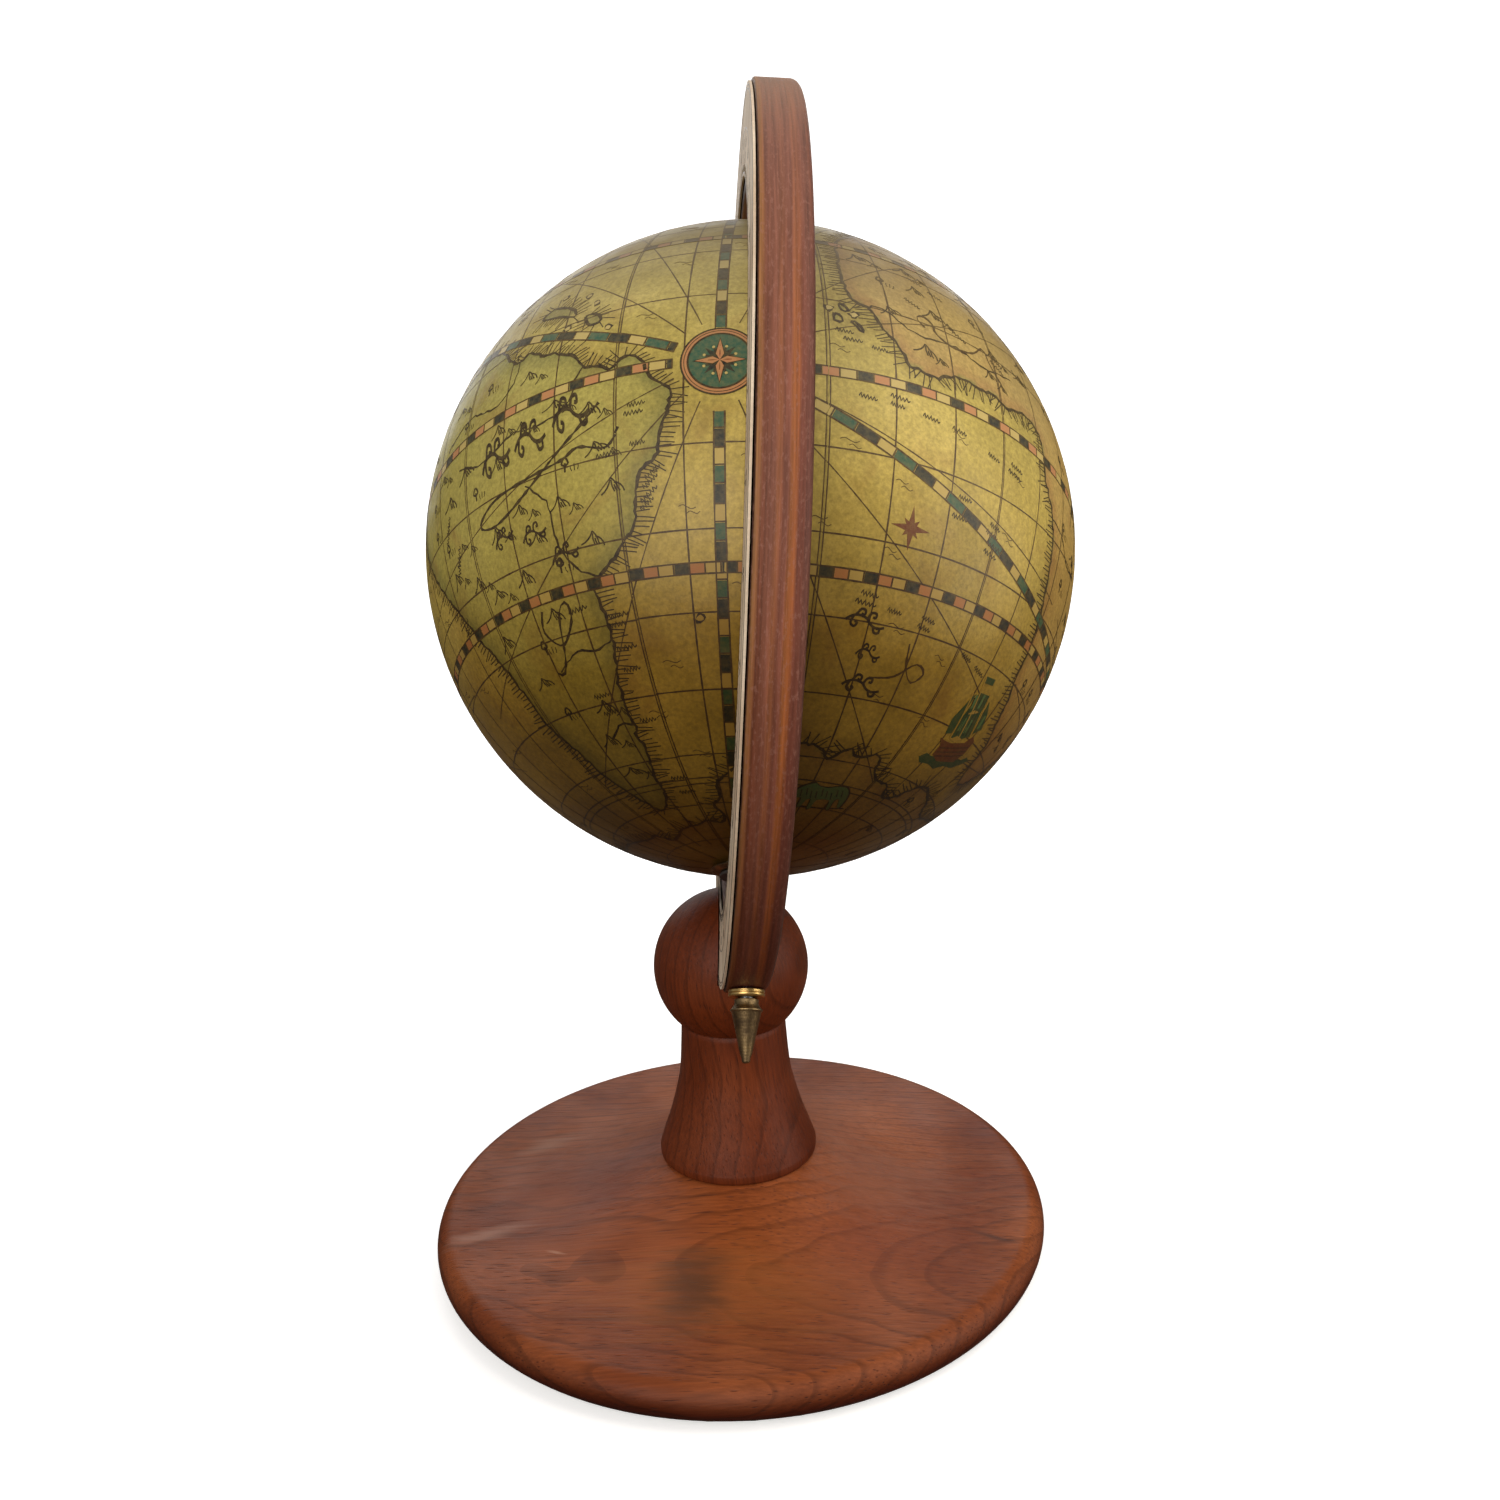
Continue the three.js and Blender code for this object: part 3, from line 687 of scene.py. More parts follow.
def arc(centre_r, centre_z, radius, start, end, steps):
    """Points of an arc as (radius, z), with angles in degrees from the outward direction."""
    angles = [math.radians(start + (end - start) * i / steps) for i in range(steps + 1)]
    return [(centre_r + radius * math.cos(a), centre_z + radius * math.sin(a)) for a in angles]


def smooth(points, steps, closed=False):
    """A smooth curve through points, as numpy rows, with this many steps for each stretch."""
    points = np.asarray(points, float)
    count = len(points)
    rows = []
    for i in range(count if closed else count - 1):
        picks = [i - 1, i, i + 1, i + 2]
        p0, p1, p2, p3 = (points[k % count if closed else min(max(k, 0), count - 1)] for k in picks)
        for j in range(steps):
            t = j / steps
            rows.append(0.5 * (
                2 * p1 + (p2 - p0) * t + (2 * p0 - 5 * p1 + 4 * p2 - p3) * t * t
                + (3 * p1 - p0 - 3 * p2 + p3) * t ** 3
            ))
    rows.append(points[0] if closed else points[-1])
    return np.array(rows)


def turned(profile, segments, place=Matrix.Identity(4)):
    """A turned solid about the Z of a place. The profile closes on the axis or on itself."""
    made = bmesh.new()
    rings = []
    for radius, z in profile:
        if radius < 1e-6:
            rings.append([made.verts.new((0, 0, z))])
            continue
        rings.append([made.verts.new((
            radius * math.cos(math.tau * i / segments), radius * math.sin(math.tau * i / segments), z,
        )) for i in range(segments)])
    on_axis = len(rings[0]) == 1
    pairs = list(zip(rings, rings[1:])) + ([] if on_axis else [(rings[-1], rings[0])])
    for low, high in pairs:
        for i in range(segments):
            j = (i + 1) % segments
            corners = [low[i % len(low)], low[j % len(low)], high[j % len(high)], high[i % len(high)]]
            made.faces.new(list(dict.fromkeys(corners)))
    bmesh.ops.recalc_face_normals(made, faces=made.faces)
    made.transform(Matrix.Scale(MM, 4) @ place)
    mesh = bpy.data.meshes.new("turned")
    made.to_mesh(mesh)
    made.free()
    return mesh


def modified(mesh, set_up):
    """The mesh after modifiers that set_up adds to a scratch object."""
    scratch = place_in_scene("scratch", mesh)
    set_up(scratch)
    bpy.context.view_layer.update()
    seen = bpy.context.evaluated_depsgraph_get()
    result = bpy.data.meshes.new_from_object(scratch.evaluated_get(seen))
    bpy.data.objects.remove(scratch)
    return result


def cut(mesh, cutter):
    """The mesh less another solid."""
    tool = place_in_scene("cutter", cutter)

    def set_up(scratch):
        """Puts the cut on the object."""
        change = scratch.modifiers.new("cut", "BOOLEAN")
        change.operation = "DIFFERENCE"
        change.solver = "EXACT"
        change.object = tool

    result = modified(mesh, set_up)
    bpy.data.objects.remove(tool)
    return result


def node_group(name, sockets):
    """A geometry node tree that takes a mesh and named inputs: (tree, the outputs that give the inputs)."""
    tree = bpy.data.node_groups.new(name, "GeometryNodeTree")
    for title, kind in {"Geometry": "Geometry", **sockets}.items():
        tree.interface.new_socket(title, in_out="INPUT", socket_type="NodeSocket" + kind)
    tree.interface.new_socket("Geometry", in_out="OUTPUT", socket_type="NodeSocketGeometry")
    return tree, add(tree, "NodeGroupInput").outputs


def grown(mesh, tree, values):
    """The plain mesh that a geometry node tree makes of a mesh, given values for its named inputs."""
    def set_up(scratch):
        """Puts the tree on the object, with its values."""
        change = scratch.modifiers.new("grow", "NODES")
        change.node_group = tree
        for socket in tree.interface.items_tree:
            if socket.in_out == "INPUT" and socket.name in values:
                change[socket.identifier] = values[socket.name]

    return modified(mesh, set_up)


# ---------------------------------------------------------------- stand

SEGMENTS = 192
BASE_RIM_TOP = 11.1
DISH_R = 77  # the dish starts here, inside the rim, and climbs to the boss
DISH_POWER = 2.2
BOSS_R = 20.8
GLUE_GAP = 0.04
STEM_OUTLINE = [(21.6, 24.4), (20.4, 28), (18.4, 33.5), (16.4, 40.5), (15.1, 47), (14.2, 59.5)]
BALL_Z = 75.5
SLOT_PLAY = 0.3
AXLE_BORE_R = 1.9


def make_base():
    """Half-round rim, and a dish that climbs to the stem like a shallow bell."""
    _, base_r, bottom, top = span("base")
    base_r -= SHY
    bore_r, bore_top, shaft_r = 10.0, 9.5, 3.4
    rim_r = (BASE_RIM_TOP - bottom) / 2
    rim = arc(base_r - rim_r, bottom + rim_r, rim_r, -90, 90, 24)
    dish = []
    for i in range(41):
        radius = DISH_R + (BOSS_R + 1 - DISH_R) * i / 40
        run = (DISH_R - radius) / (DISH_R - BOSS_R)
        dish.append((radius, BASE_RIM_TOP + (top - BASE_RIM_TOP) * run ** DISH_POWER))
    bore = [(shaft_r, top), (shaft_r, bore_top), (bore_r, bore_top)]
    profile = [(bore_r, bottom), *rim, *dish, (BOSS_R, top), *bore]
    finish_piece("turned_base", turned(profile, SEGMENTS), WOOD_BASE, "stand", ["base"])


def make_stem():
    """A bell-footed stem, with a thin turned edge at its foot."""
    # Glue fills the joints, so the stem reaches almost to the boss under it and the ball above it.
    _, _, _, boss_top = span("base")
    _, _, seat, _ = span("ball")
    bottom, top = boss_top + GLUE_GAP, seat - GLUE_GAP
    pilot_r, pilot_depth, dowel_r, dowel_depth, foot_edge, neck_edge = 2.9, 21.8, 4.3, 10, 0.8, 0.5
    pilot = [(0, bottom + pilot_depth), (pilot_r, bottom + pilot_depth), (pilot_r, bottom)]
    foot = arc(STEM_OUTLINE[0][0] - foot_edge, bottom + foot_edge, foot_edge, -90, 0, 6)
    side = [tuple(p) for p in smooth(STEM_OUTLINE, 8)]
    neck = (STEM_OUTLINE[-1][0] - neck_edge, top)
    socket = [(dowel_r, top), (dowel_r, top - dowel_depth), (0, top - dowel_depth)]
    profile = [*pilot, *foot, *side, neck, *socket]
    finish_piece("turned_stem", turned(profile, 128), WOOD_STEM, "stand", ["stem"])


def make_ball():
    """The ball that holds the ring: slotted across its top and flat where it sits on the stem."""
    _, _, seat, _ = span("ball")
    ball_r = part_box("ball")[1].x / MM
    start = math.degrees(math.asin((seat - BALL_Z) / ball_r))
    profile = [(0, seat), *arc(0, BALL_Z, ball_r, start, 90, 60)]
    profile[-1] = (0, BALL_Z + ball_r)
    _, _, scale_left, _ = span("meridian_scale", ACROSS_RING)
    slot = sleeve(RING_INNER_R - 20, RING_OUTER_R + SLOT_PLAY, scale_left - SLOT_PLAY, RING_RIGHT + SLOT_PLAY)
    ball = cut(turned(profile, 128), turned(slot, 240, ACROSS_RING))
    finish_piece("slotted_ball", ball, WOOD_STEM, "stand", ["ball"], sharp_deg=30)


def make_ring():
    """The bent ring: nearly square left corners and a well-rounded right one, with its two axle bores."""
    inner, outer, left, right = RING_INNER_R, RING_OUTER_R, RING_LEFT, RING_RIGHT
    profile = [
        *arc(outer - 0.6, left + 0.6, 0.6, -90, 0, 5),
        *arc(outer - 2.2, right - 2.2, 2.2, 0, 90, 10),
        *arc(inner + 1.5, right - 1.5, 1.5, 90, 180, 8),
        *arc(inner + 0.8, left + 0.8, 0.8, 180, 270, 6),
    ]
    bore = turned(sleeve(0, AXLE_BORE_R, -outer - 5, outer + 5), 32, AXLE_PLACE)
    ring = cut(turned(profile, 360, ACROSS_RING), bore)
    back = np.array(ACROSS_RING.inverted())
    local = points_of(ring) @ back[:3, :3].T + back[:3, 3]
    # The strips' ends meet at the foot of the ring, inside the ball.
    angle = np.arctan2(local[:, 1], -local[:, 0])
    attribute(ring, "grain", np.stack([local[:, 2], np.hypot(local[:, 0], local[:, 1]), angle * outer], 1))
    finish_piece("bent_ring", ring, WOOD_RING, "stand", ["meridian_ring"], sharp_deg=30)


def make_pole_hardware(side, name):
    """Washer, spacer, collar and finial at one end of the axle, and the ferrule that turns with the globe."""
    place = AXLE_PLACE if side > 0 else AXLE_PLACE @ Matrix.Rotation(math.pi, 4, "X")
    bore = AXLE_BORE_R

    def make(part, title, profile, segments, material, body="stand"):
        """Turns a piece on this pole's axis and hands it in for the CAD part."""
        mesh = turned(profile, segments, place)
        finish_piece(f"{name}_{title}", mesh, material, body, [f"{name}_{part}"])

    def outside(part):
        """(least radius, greatest radius, lowest, highest) of a part of this pole, along the axle."""
        return span(f"{name}_{part}", place)

    washer = eased_sleeve(bore, *outside("washer")[1:], 0.2)
    make("washer", "thrust_washer", washer, 64, NYLON)
    spacer = eased_sleeve(bore, *outside("spacer")[1:], 0.35)
    make("spacer", "brass_spacer", spacer, 64, BRASS_OLD)
    _, outer, low, high = outside("collar")
    mid, groove = (low + high) / 2, 0.12
    collar = [
        (bore, low), *arc(outer - 0.3, low + 0.3, 0.3, -90, 0, 4), (outer, mid - groove), (outer - 0.15, mid),
        (outer, mid + groove), *arc(outer - 0.45, high - 0.45, 0.45, 0, 90, 6), (bore, high),
    ]
    make("collar", "brass_collar", collar, 96, BRASS_BRIGHT)
    _, _, low, high = outside("finial")
    hole = [(0, 8.0), (1.8, 8.0), (1.8, 0)]
    neck = smooth([(2.75, 0.25), (2.7, 0.9), (2.95, 1.6), (3.45, 2.25)], 5)
    cone = [
        (2.5, 0), *neck[:-1], *arc(3.4, 2.6, 0.27, -60, 60, 6), (3.3, 3.1), (1.3, 12.2),
        (1.05, 12.6), *arc(0.35, high - low - 0.6, 0.6, 20, 90, 6), (0, high - low),
    ]
    make("finial", "cone_finial", [(r, low + z) for r, z in hole + cone], 96, BRASS_OLD)
    inner, outer, low, high = outside("ferrule")
    ferrule = [
        (inner, low), (4.0, low), (4.0, high - 0.9), *arc(outer - 0.25, high - 0.65, 0.25, -90, 20, 4),
        (7.6, high), (inner, high),
    ]
    make("ferrule", "pole_ferrule", ferrule, 96, BRASS_OLD, body="globe")


make_base()
make_stem()
make_ball()
make_ring()
for pole_side, pole in ((1, "north"), (-1, "south")):
    make_pole_hardware(pole_side, pole)

for kept, material in {
    "base_felt": FELT, "stem_screw": STEEL, "stem_washer": STEEL, "ball_dowel": BEECH,
    "ring_screw": BRASS_OLD, "axle_rod": STEEL, "globe_shell_north": CARD, "globe_shell_south": CARD,
    "equator_hoop": CARD,
}.items():
    mesh = frame["nodes"][kept].data
    mesh.materials.clear()
    mesh.materials.append(material)

# ---------------------------------------------------------------- degree scale on the ring's left face


def round_tree():
    """Sets a mark all round a circle about Z, turned to face along the radius."""
    tree, given = node_group("marks_round_circle", {
        "Mark": "Object", "Count": "Int", "Radius": "Float", "Material": "Material",
    })
    mark = add(tree, "GeometryNodeObjectInfo", None, {"Object": given["Mark"]})
    circle = add(tree, "GeometryNodeMeshCircle", None, {
        "Vertices": given["Count"], "Radius": given["Radius"],
    })
    number = add(tree, "GeometryNodeInputIndex")
    share = add(tree, "ShaderNodeMath", {"operation": "DIVIDE"}, {0: number, 1: given["Count"]})
    angle = add(tree, "ShaderNodeMath", {"operation": "MULTIPLY"}, {0: share, 1: math.tau})
    turn = add(tree, "FunctionNodeAxisAngleToRotation", None, {"Axis": (0, 0, 1), "Angle": angle})
    set_out = add(tree, "GeometryNodeInstanceOnPoints", None, {
        "Points": circle, "Instance": mark.outputs["Geometry"], "Rotation": turn,
    })
    real = add(tree, "GeometryNodeRealizeInstances", None, {0: set_out})
    inked = add(tree, "GeometryNodeSetMaterial", None, {"Geometry": real, "Material": given["Material"]})
    add(tree, "NodeGroupOutput", None, {0: inked})
    return tree


SCALE_PROUD = 0.03  # how far the scale's ink stands off the paper
TICKS = ((360, 0.6, 2.2, 0.16), (72, 0.6, 3.4, 0.22), (36, 0.6, 4.8, 0.3))  # count, start, end and width
NUMERAL_HEIGHT = 3.0
NUMERAL_FROM_EDGE = 6.6


def slab(x0, x1, y0, y1, z0, z1):
    """A closed box, in mm."""
    points = [(x, y, z) for z in (z0, z1) for y in (y0, y1) for x in (x0, x1)]
    faces = [(0, 2, 3, 1), (4, 5, 7, 6), (0, 1, 5, 4), (2, 6, 7, 3), (0, 4, 6, 2), (1, 3, 7, 5)]
    return mesh_of(points, faces)


def number_mesh(text, height):
    """A numeral as a thin solid, centred on the origin, in metres."""
    curve = bpy.data.curves.new("numeral", "FONT")
    curve.body = text
    curve.size = height * MM
    curve.align_x, curve.align_y = "CENTER", "CENTER"
    curve.extrude = 0.05 * MM
    curve.resolution_u = 2
    scratch = place_in_scene("numeral", curve)
    bpy.context.view_layer.update()
    mesh = bpy.data.meshes.new_from_object(scratch.evaluated_get(bpy.context.evaluated_depsgraph_get()))
    bpy.data.objects.remove(scratch)
    return mesh


def make_scale():
    """The paper annulus: a tick for each degree, and numerals from 0 at the equator to 90 at the poles."""
    inner, outer, left, right = span("meridian_scale", ACROSS_RING)
    left += SCALE_PROUD
    face, high = left - SCALE_PROUD, left + SCALE_PROUD
    paper = turned(sleeve(inner, outer, left, right), 360, ACROSS_RING)
    finish_piece("meridian_scale_paper", paper, SCALE_PAPER, "stand", ["meridian_scale"])
    printed = bmesh.new()
    tree = round_tree()
    for count, start, end, width in TICKS:
        mark = bpy.data.objects.new("tick", slab(start, end, -width / 2, width / 2, face, high))
        values = {"Mark": mark, "Count": count, "Radius": inner * MM, "Material": SCALE_INK}
        printed.from_mesh(grown(mesh_of([(0, 0, 0)], []), tree, values))
        bpy.data.objects.remove(mark)
    pole = math.degrees(math.atan2(math.sin(TILT), -math.cos(TILT)))
    for k in range(36):
        from_pole = (10 * k + 180) % 360 - 180
        angle = math.radians(pole + 10 * k)
        out = Vector((math.cos(angle), math.sin(angle), 0))
        along = Vector((-math.sin(angle), math.cos(angle), 0))
        upright = Matrix((along, out, (0, 0, -1))).transposed().to_4x4()
        lifted = Matrix.Translation((0, 0, left * MM))
        where = lifted @ Matrix.Translation(out * (inner + NUMERAL_FROM_EDGE) * MM)
        numeral = number_mesh(str(abs(90 - abs(from_pole))), NUMERAL_HEIGHT)
        numeral.transform(where @ upright)
        for vertex in numeral.vertices:
            vertex.co.z = max(vertex.co.z, face * MM)
        printed.from_mesh(numeral)
    for radius in (inner + 0.5, inner + 9.2, outer - 1.6, outer - 0.9):
        printed.from_mesh(turned(sleeve(radius, radius + 0.25, face, high), 180))
    printed.transform(Matrix.Scale(MM, 4) @ ACROSS_RING @ Matrix.Scale(1 / MM, 4))
    mesh = bpy.data.meshes.new("scale_print")
    printed.to_mesh(mesh)
    printed.free()
    finish_piece("meridian_scale_print", mesh, SCALE_INK, "stand")


make_scale()

# ---------------------------------------------------------------- the map: drawing on the globe

GORES = 12
GORE_WIDTH = 360 / GORES
GORE_END = 85.0
INK_SINK = 0.1  # how far the foot of each printed line is let into the paper
EDGE_STEP, GRID_STEP, GRID_FROM_EDGE = 1.5, 1.6, 0.5  # how finely a printed patch is cut up, in mm
draw = random.Random(11)
GORE_SLIP = [(draw.uniform(-0.12, 0.12), draw.uniform(-0.14, 0.14)) for _ in range(GORES)]


def direction(lon, lat):
    """Unit vectors in the map's own axes."""
    lon, lat = np.radians(lon), np.radians(lat)
    return np.stack([np.cos(lat) * np.cos(lon), np.cos(lat) * np.sin(lon), np.sin(lat)], -1)


def lon_lat(d):
    """Longitudes and latitudes of unit vectors."""
    d = np.asarray(d)
    return np.degrees(np.arctan2(d[..., 1], d[..., 0])), np.degrees(np.arcsin(np.clip(d[..., 2], -1, 1)))


def unit(d):
    """Vectors at length 1."""
    return d / np.linalg.norm(d, axis=-1, keepdims=True)


def on_globe(d, lift=0.0):
    """World points in mm for unit vectors in the map's axes, lifted off the paper."""
    return np.array(CENTRE) + (d @ MAP_AXES) * (GLOBE_R + lift)


def compass(lon, lat):
    """A place on the map and its directions east and north, as unit vectors."""
    middle = direction(lon, lat)
    east = direction(lon + 90, np.zeros_like(lon))
    return middle, east, np.cross(middle, east)


class Print:
    """All that is printed in one ink, gathered into one closed mesh."""

    def __init__(self, name, material):
        self.name = name
        self.material = material
        self.points = []
        self.faces = []
        self.count = 0

    def add(self, points, faces):
        """Takes in a closed shape: its points in mm, and faces that number them."""
        self.points.append(points)
        self.faces += [[k + self.count for k in face] for face in faces]
        self.count += len(points)

    def finish(self):
        """Makes the piece that holds this ink."""
        mesh = mesh_of(np.concatenate(self.points), self.faces)
        finish_piece(self.name, mesh, self.material, "globe", sharp_deg=30)


def wedge_faces(count, closed=False):
    """Faces of a stroke, whose points are its left edge, then its right edge, then its foot."""
    faces = [] if closed else [(count, 0, 2 * count), (count - 1, 2 * count - 1, 3 * count - 1)]
    for i in range(count if closed else count - 1):
        j = (i + 1) % count
        faces += [
            (count + i, count + j, j, i), (i, j, 2 * count + j, 2 * count + i),
            (count + j, count + i, 2 * count + i, 2 * count + j),
        ]
    return faces


def runs_by_gore(d):
    """Splits a path where it crosses a seam, and slips each run with the gore it is printed on."""
    lon = np.degrees(np.unwrap(np.radians(lon_lat(d)[0])))
    gore = np.floor((lon + GORE_WIDTH / 2) / GORE_WIDTH)
    runs, current = [], [d[0]]
    for i in range(1, len(d)):
        if gore[i] != gore[i - 1] and abs(lon[i] - lon[i - 1]) > 1e-9:
            seam = max(gore[i], gore[i - 1]) * GORE_WIDTH - GORE_WIDTH / 2
            t = (seam - lon[i - 1]) / (lon[i] - lon[i - 1])
            crossing = unit(d[i - 1] + t * (d[i] - d[i - 1]))
            runs.append((gore[i - 1], current + [crossing]))
            current = [crossing]
        current.append(d[i])
    runs.append((gore[-1], current))
    for number, run in runs:
        slip_lon, slip_lat = GORE_SLIP[int(number) % GORES]
        lon, lat = lon_lat(np.array(run))
        if len(run) > 1:
            yield direction(lon + slip_lon, lat + slip_lat)


def line(target, d, width, lift, ragged=0.25):
    """Prints a line along unit vectors d. Its section is a flat-topped wedge, let into the paper."""
    for run in runs_by_gore(np.asarray(d)):
        steps = np.gradient(run, axis=0)
        side = unit(np.cross(run, steps))
        widths = width * np.array([1 + ragged * draw.uniform(-1, 1) for _ in run])[:, None] / 2
        reach = GLOBE_R + lift
        left = unit(run + side * widths / reach)
        right = unit(run - side * widths / reach)
        points = np.concatenate([on_globe(left, lift), on_globe(right, lift), on_globe(run, -INK_SINK)])
        target.add(points, wedge_faces(len(run)))


def path(points, step=1.4, closed=False, wiggle=0.0, seed=0):
    """Unit vectors along a curve through a few (longitude, latitude) points, about step degrees apart."""
    points = np.asarray(points, float)
    rows = smooth(points, 12, closed)
    gaps = np.hypot(np.diff(rows[:, 0]) * np.cos(np.radians(rows[:-1, 1])), np.diff(rows[:, 1]))
    reach = np.concatenate([[0], np.cumsum(gaps)])
    count = max(2, int(math.ceil(reach[-1] / step)) + 1)
    at = np.linspace(0, reach[-1], count)
    lon, lat = np.interp(at, reach, rows[:, 0]), np.interp(at, reach, rows[:, 1])
    if wiggle:
        shake = random.Random(seed)
        sway = [sum(shake.uniform(-1, 1) for _ in range(2)) / 2 * wiggle for _ in range(2 * count)]
        lon = lon + np.array(sway[:count]) / np.maximum(np.cos(np.radians(lat)), 0.25)
        lat = lat + np.array(sway[count:])
        if closed:
            lon[-1], lat[-1] = lon[0], lat[0]
    return direction(lon, lat)


def beside(d, offset_mm):
    """The same path, moved to its left by some millimetres."""
    side = unit(np.cross(d, np.gradient(d, axis=0)))
    return unit(d + side * offset_mm / GLOBE_R)


def patch(target, lon, lat, turn_deg, outline, lift):
    """Prints a filled shape. The outline is in mm about a point of the map, x east and y north.

    The edge and the middle are cut into small triangles, so that the shape follows the globe.
    """
    outline = np.asarray(outline, float)
    rows = []
    for a, b in zip(outline, np.roll(outline, -1, axis=0)):
        parts = max(1, int(np.linalg.norm(b - a) / EDGE_STEP))
        rows += [a + (b - a) * k / parts for k in range(parts)]
    edge = len(rows)
    low, high = np.min(rows, axis=0), np.max(rows, axis=0)
    for x in np.arange(low[0] + GRID_STEP / 2, high[0], GRID_STEP):
        for y in np.arange(low[1] + GRID_STEP / 2, high[1], GRID_STEP):
            if inside(np.array([x]), np.array([y]), outline)[0]:
                gap = min(math.hypot(x - r[0], y - r[1]) for r in rows[:edge])
                if gap > GRID_FROM_EDGE:
                    rows.append(np.array([x, y]))
    flat = [Vector(r) for r in rows]
    made = delaunay_2d_cdt(flat, [(i, (i + 1) % edge) for i in range(edge)], [], 1, 1e-5)
    flat, tris = np.array([tuple(v) for v in made[0]]), made[2]
    turn = math.radians(turn_deg)
    spun = flat @ np.array([[math.cos(turn), math.sin(turn)], [-math.sin(turn), math.cos(turn)]])
    middle, east, north = compass(lon, lat)
    away = unit(middle + (spun[:, :1] * east + spun[:, 1:] * north) / GLOBE_R)
    count = len(away)
    points = np.concatenate([on_globe(away, lift), on_globe(away, -INK_SINK)])
    faces, borders = [], {}
    for tri in tris:
        a, b, c = flat[tri[0]], flat[tri[1]], flat[tri[2]]
        ccw = (b[0] - a[0]) * (c[1] - a[1]) - (b[1] - a[1]) * (c[0] - a[0]) > 0
        tri = tuple(tri) if ccw else tuple(reversed(tri))
        faces += [tri, tuple(k + count for k in reversed(tri))]
        for k in range(3):
            borders[(tri[k], tri[(k + 1) % 3])] = True
    for a, b in borders:
        if (b, a) not in borders:
            faces.append((b, a, a + count, b + count))
    target.add(points, faces)


def inside(x, y, polygon):
    """True where points lie in a polygon."""
    hit = np.zeros(len(x), bool)
    for (x0, y0), (x1, y1) in zip(polygon, np.roll(polygon, -1, axis=0)):
        if y0 == y1:
            continue
        cross = (y0 > y) != (y1 > y)
        hit ^= cross & (x < x0 + (y - y0) / (y1 - y0) * (x1 - x0))
    return hit


# ---------------------------------------------------------------- coasts

AMERICAS = [
    (-39.5, 14.5), (-36, 10.5), (-33.5, 9), (-31.5, 10), (-28.5, 8), (-25.5, 7), (-22.5, 5.5), (-20.5, 3),
    (-18, 2), (-16, 1), (-14.5, 2.3), (-12.5, 2.5), (-11, 1), (-9.5, -2), (-7, -4), (-7, -6.5),
    (-8.3, -10.5), (-9, -13.5), (-11, -15), (-12, -17), (-12.5, -20), (-13, -22.5), (-16.5, -26),
    (-20, -28.5), (-21.5, -30), (-20.5, -35), (-20.8, -39), (-22, -43), (-23, -48), (-22.3, -50.5),
    (-23.5, -52.5), (-22.5, -54), (-23, -56.5), (-25, -60), (-25, -63.5), (-27, -65.3), (-31, -67),
    (-34, -66.3), (-37.5, -62.5), (-40.5, -59), (-41.8, -56.5), (-43, -52.5), (-44.5, -49.5), (-46.5, -46),
    (-46.5, -42.5), (-48, -36.5), (-50.5, -32), (-54.5, -25.5), (-57.5, -21.5), (-63, -14), (-67, -6),
    (-66, 2), (-69, 8), (-76, 12), (-84, 16), (-92, 20), (-100, 25), (-107, 32), (-112, 40), (-117, 48),
    (-128, 55), (-140, 58), (-143, 64), (-128, 67), (-110, 68), (-93, 69), (-81, 66), (-74, 60), (-66, 61),
    (-58, 58), (-52, 52), (-46, 50), (-49, 45), (-56, 42), (-60, 37), (-63, 32), (-66, 28), (-64.5, 25),
    (-68, 26.5), (-71, 30), (-77, 29), (-81, 25), (-80, 20.5), (-75, 18.5), (-72, 20), (-70.5, 16),
    (-66, 12.5), (-60, 12.5), (-54, 14), (-46, 16),
]
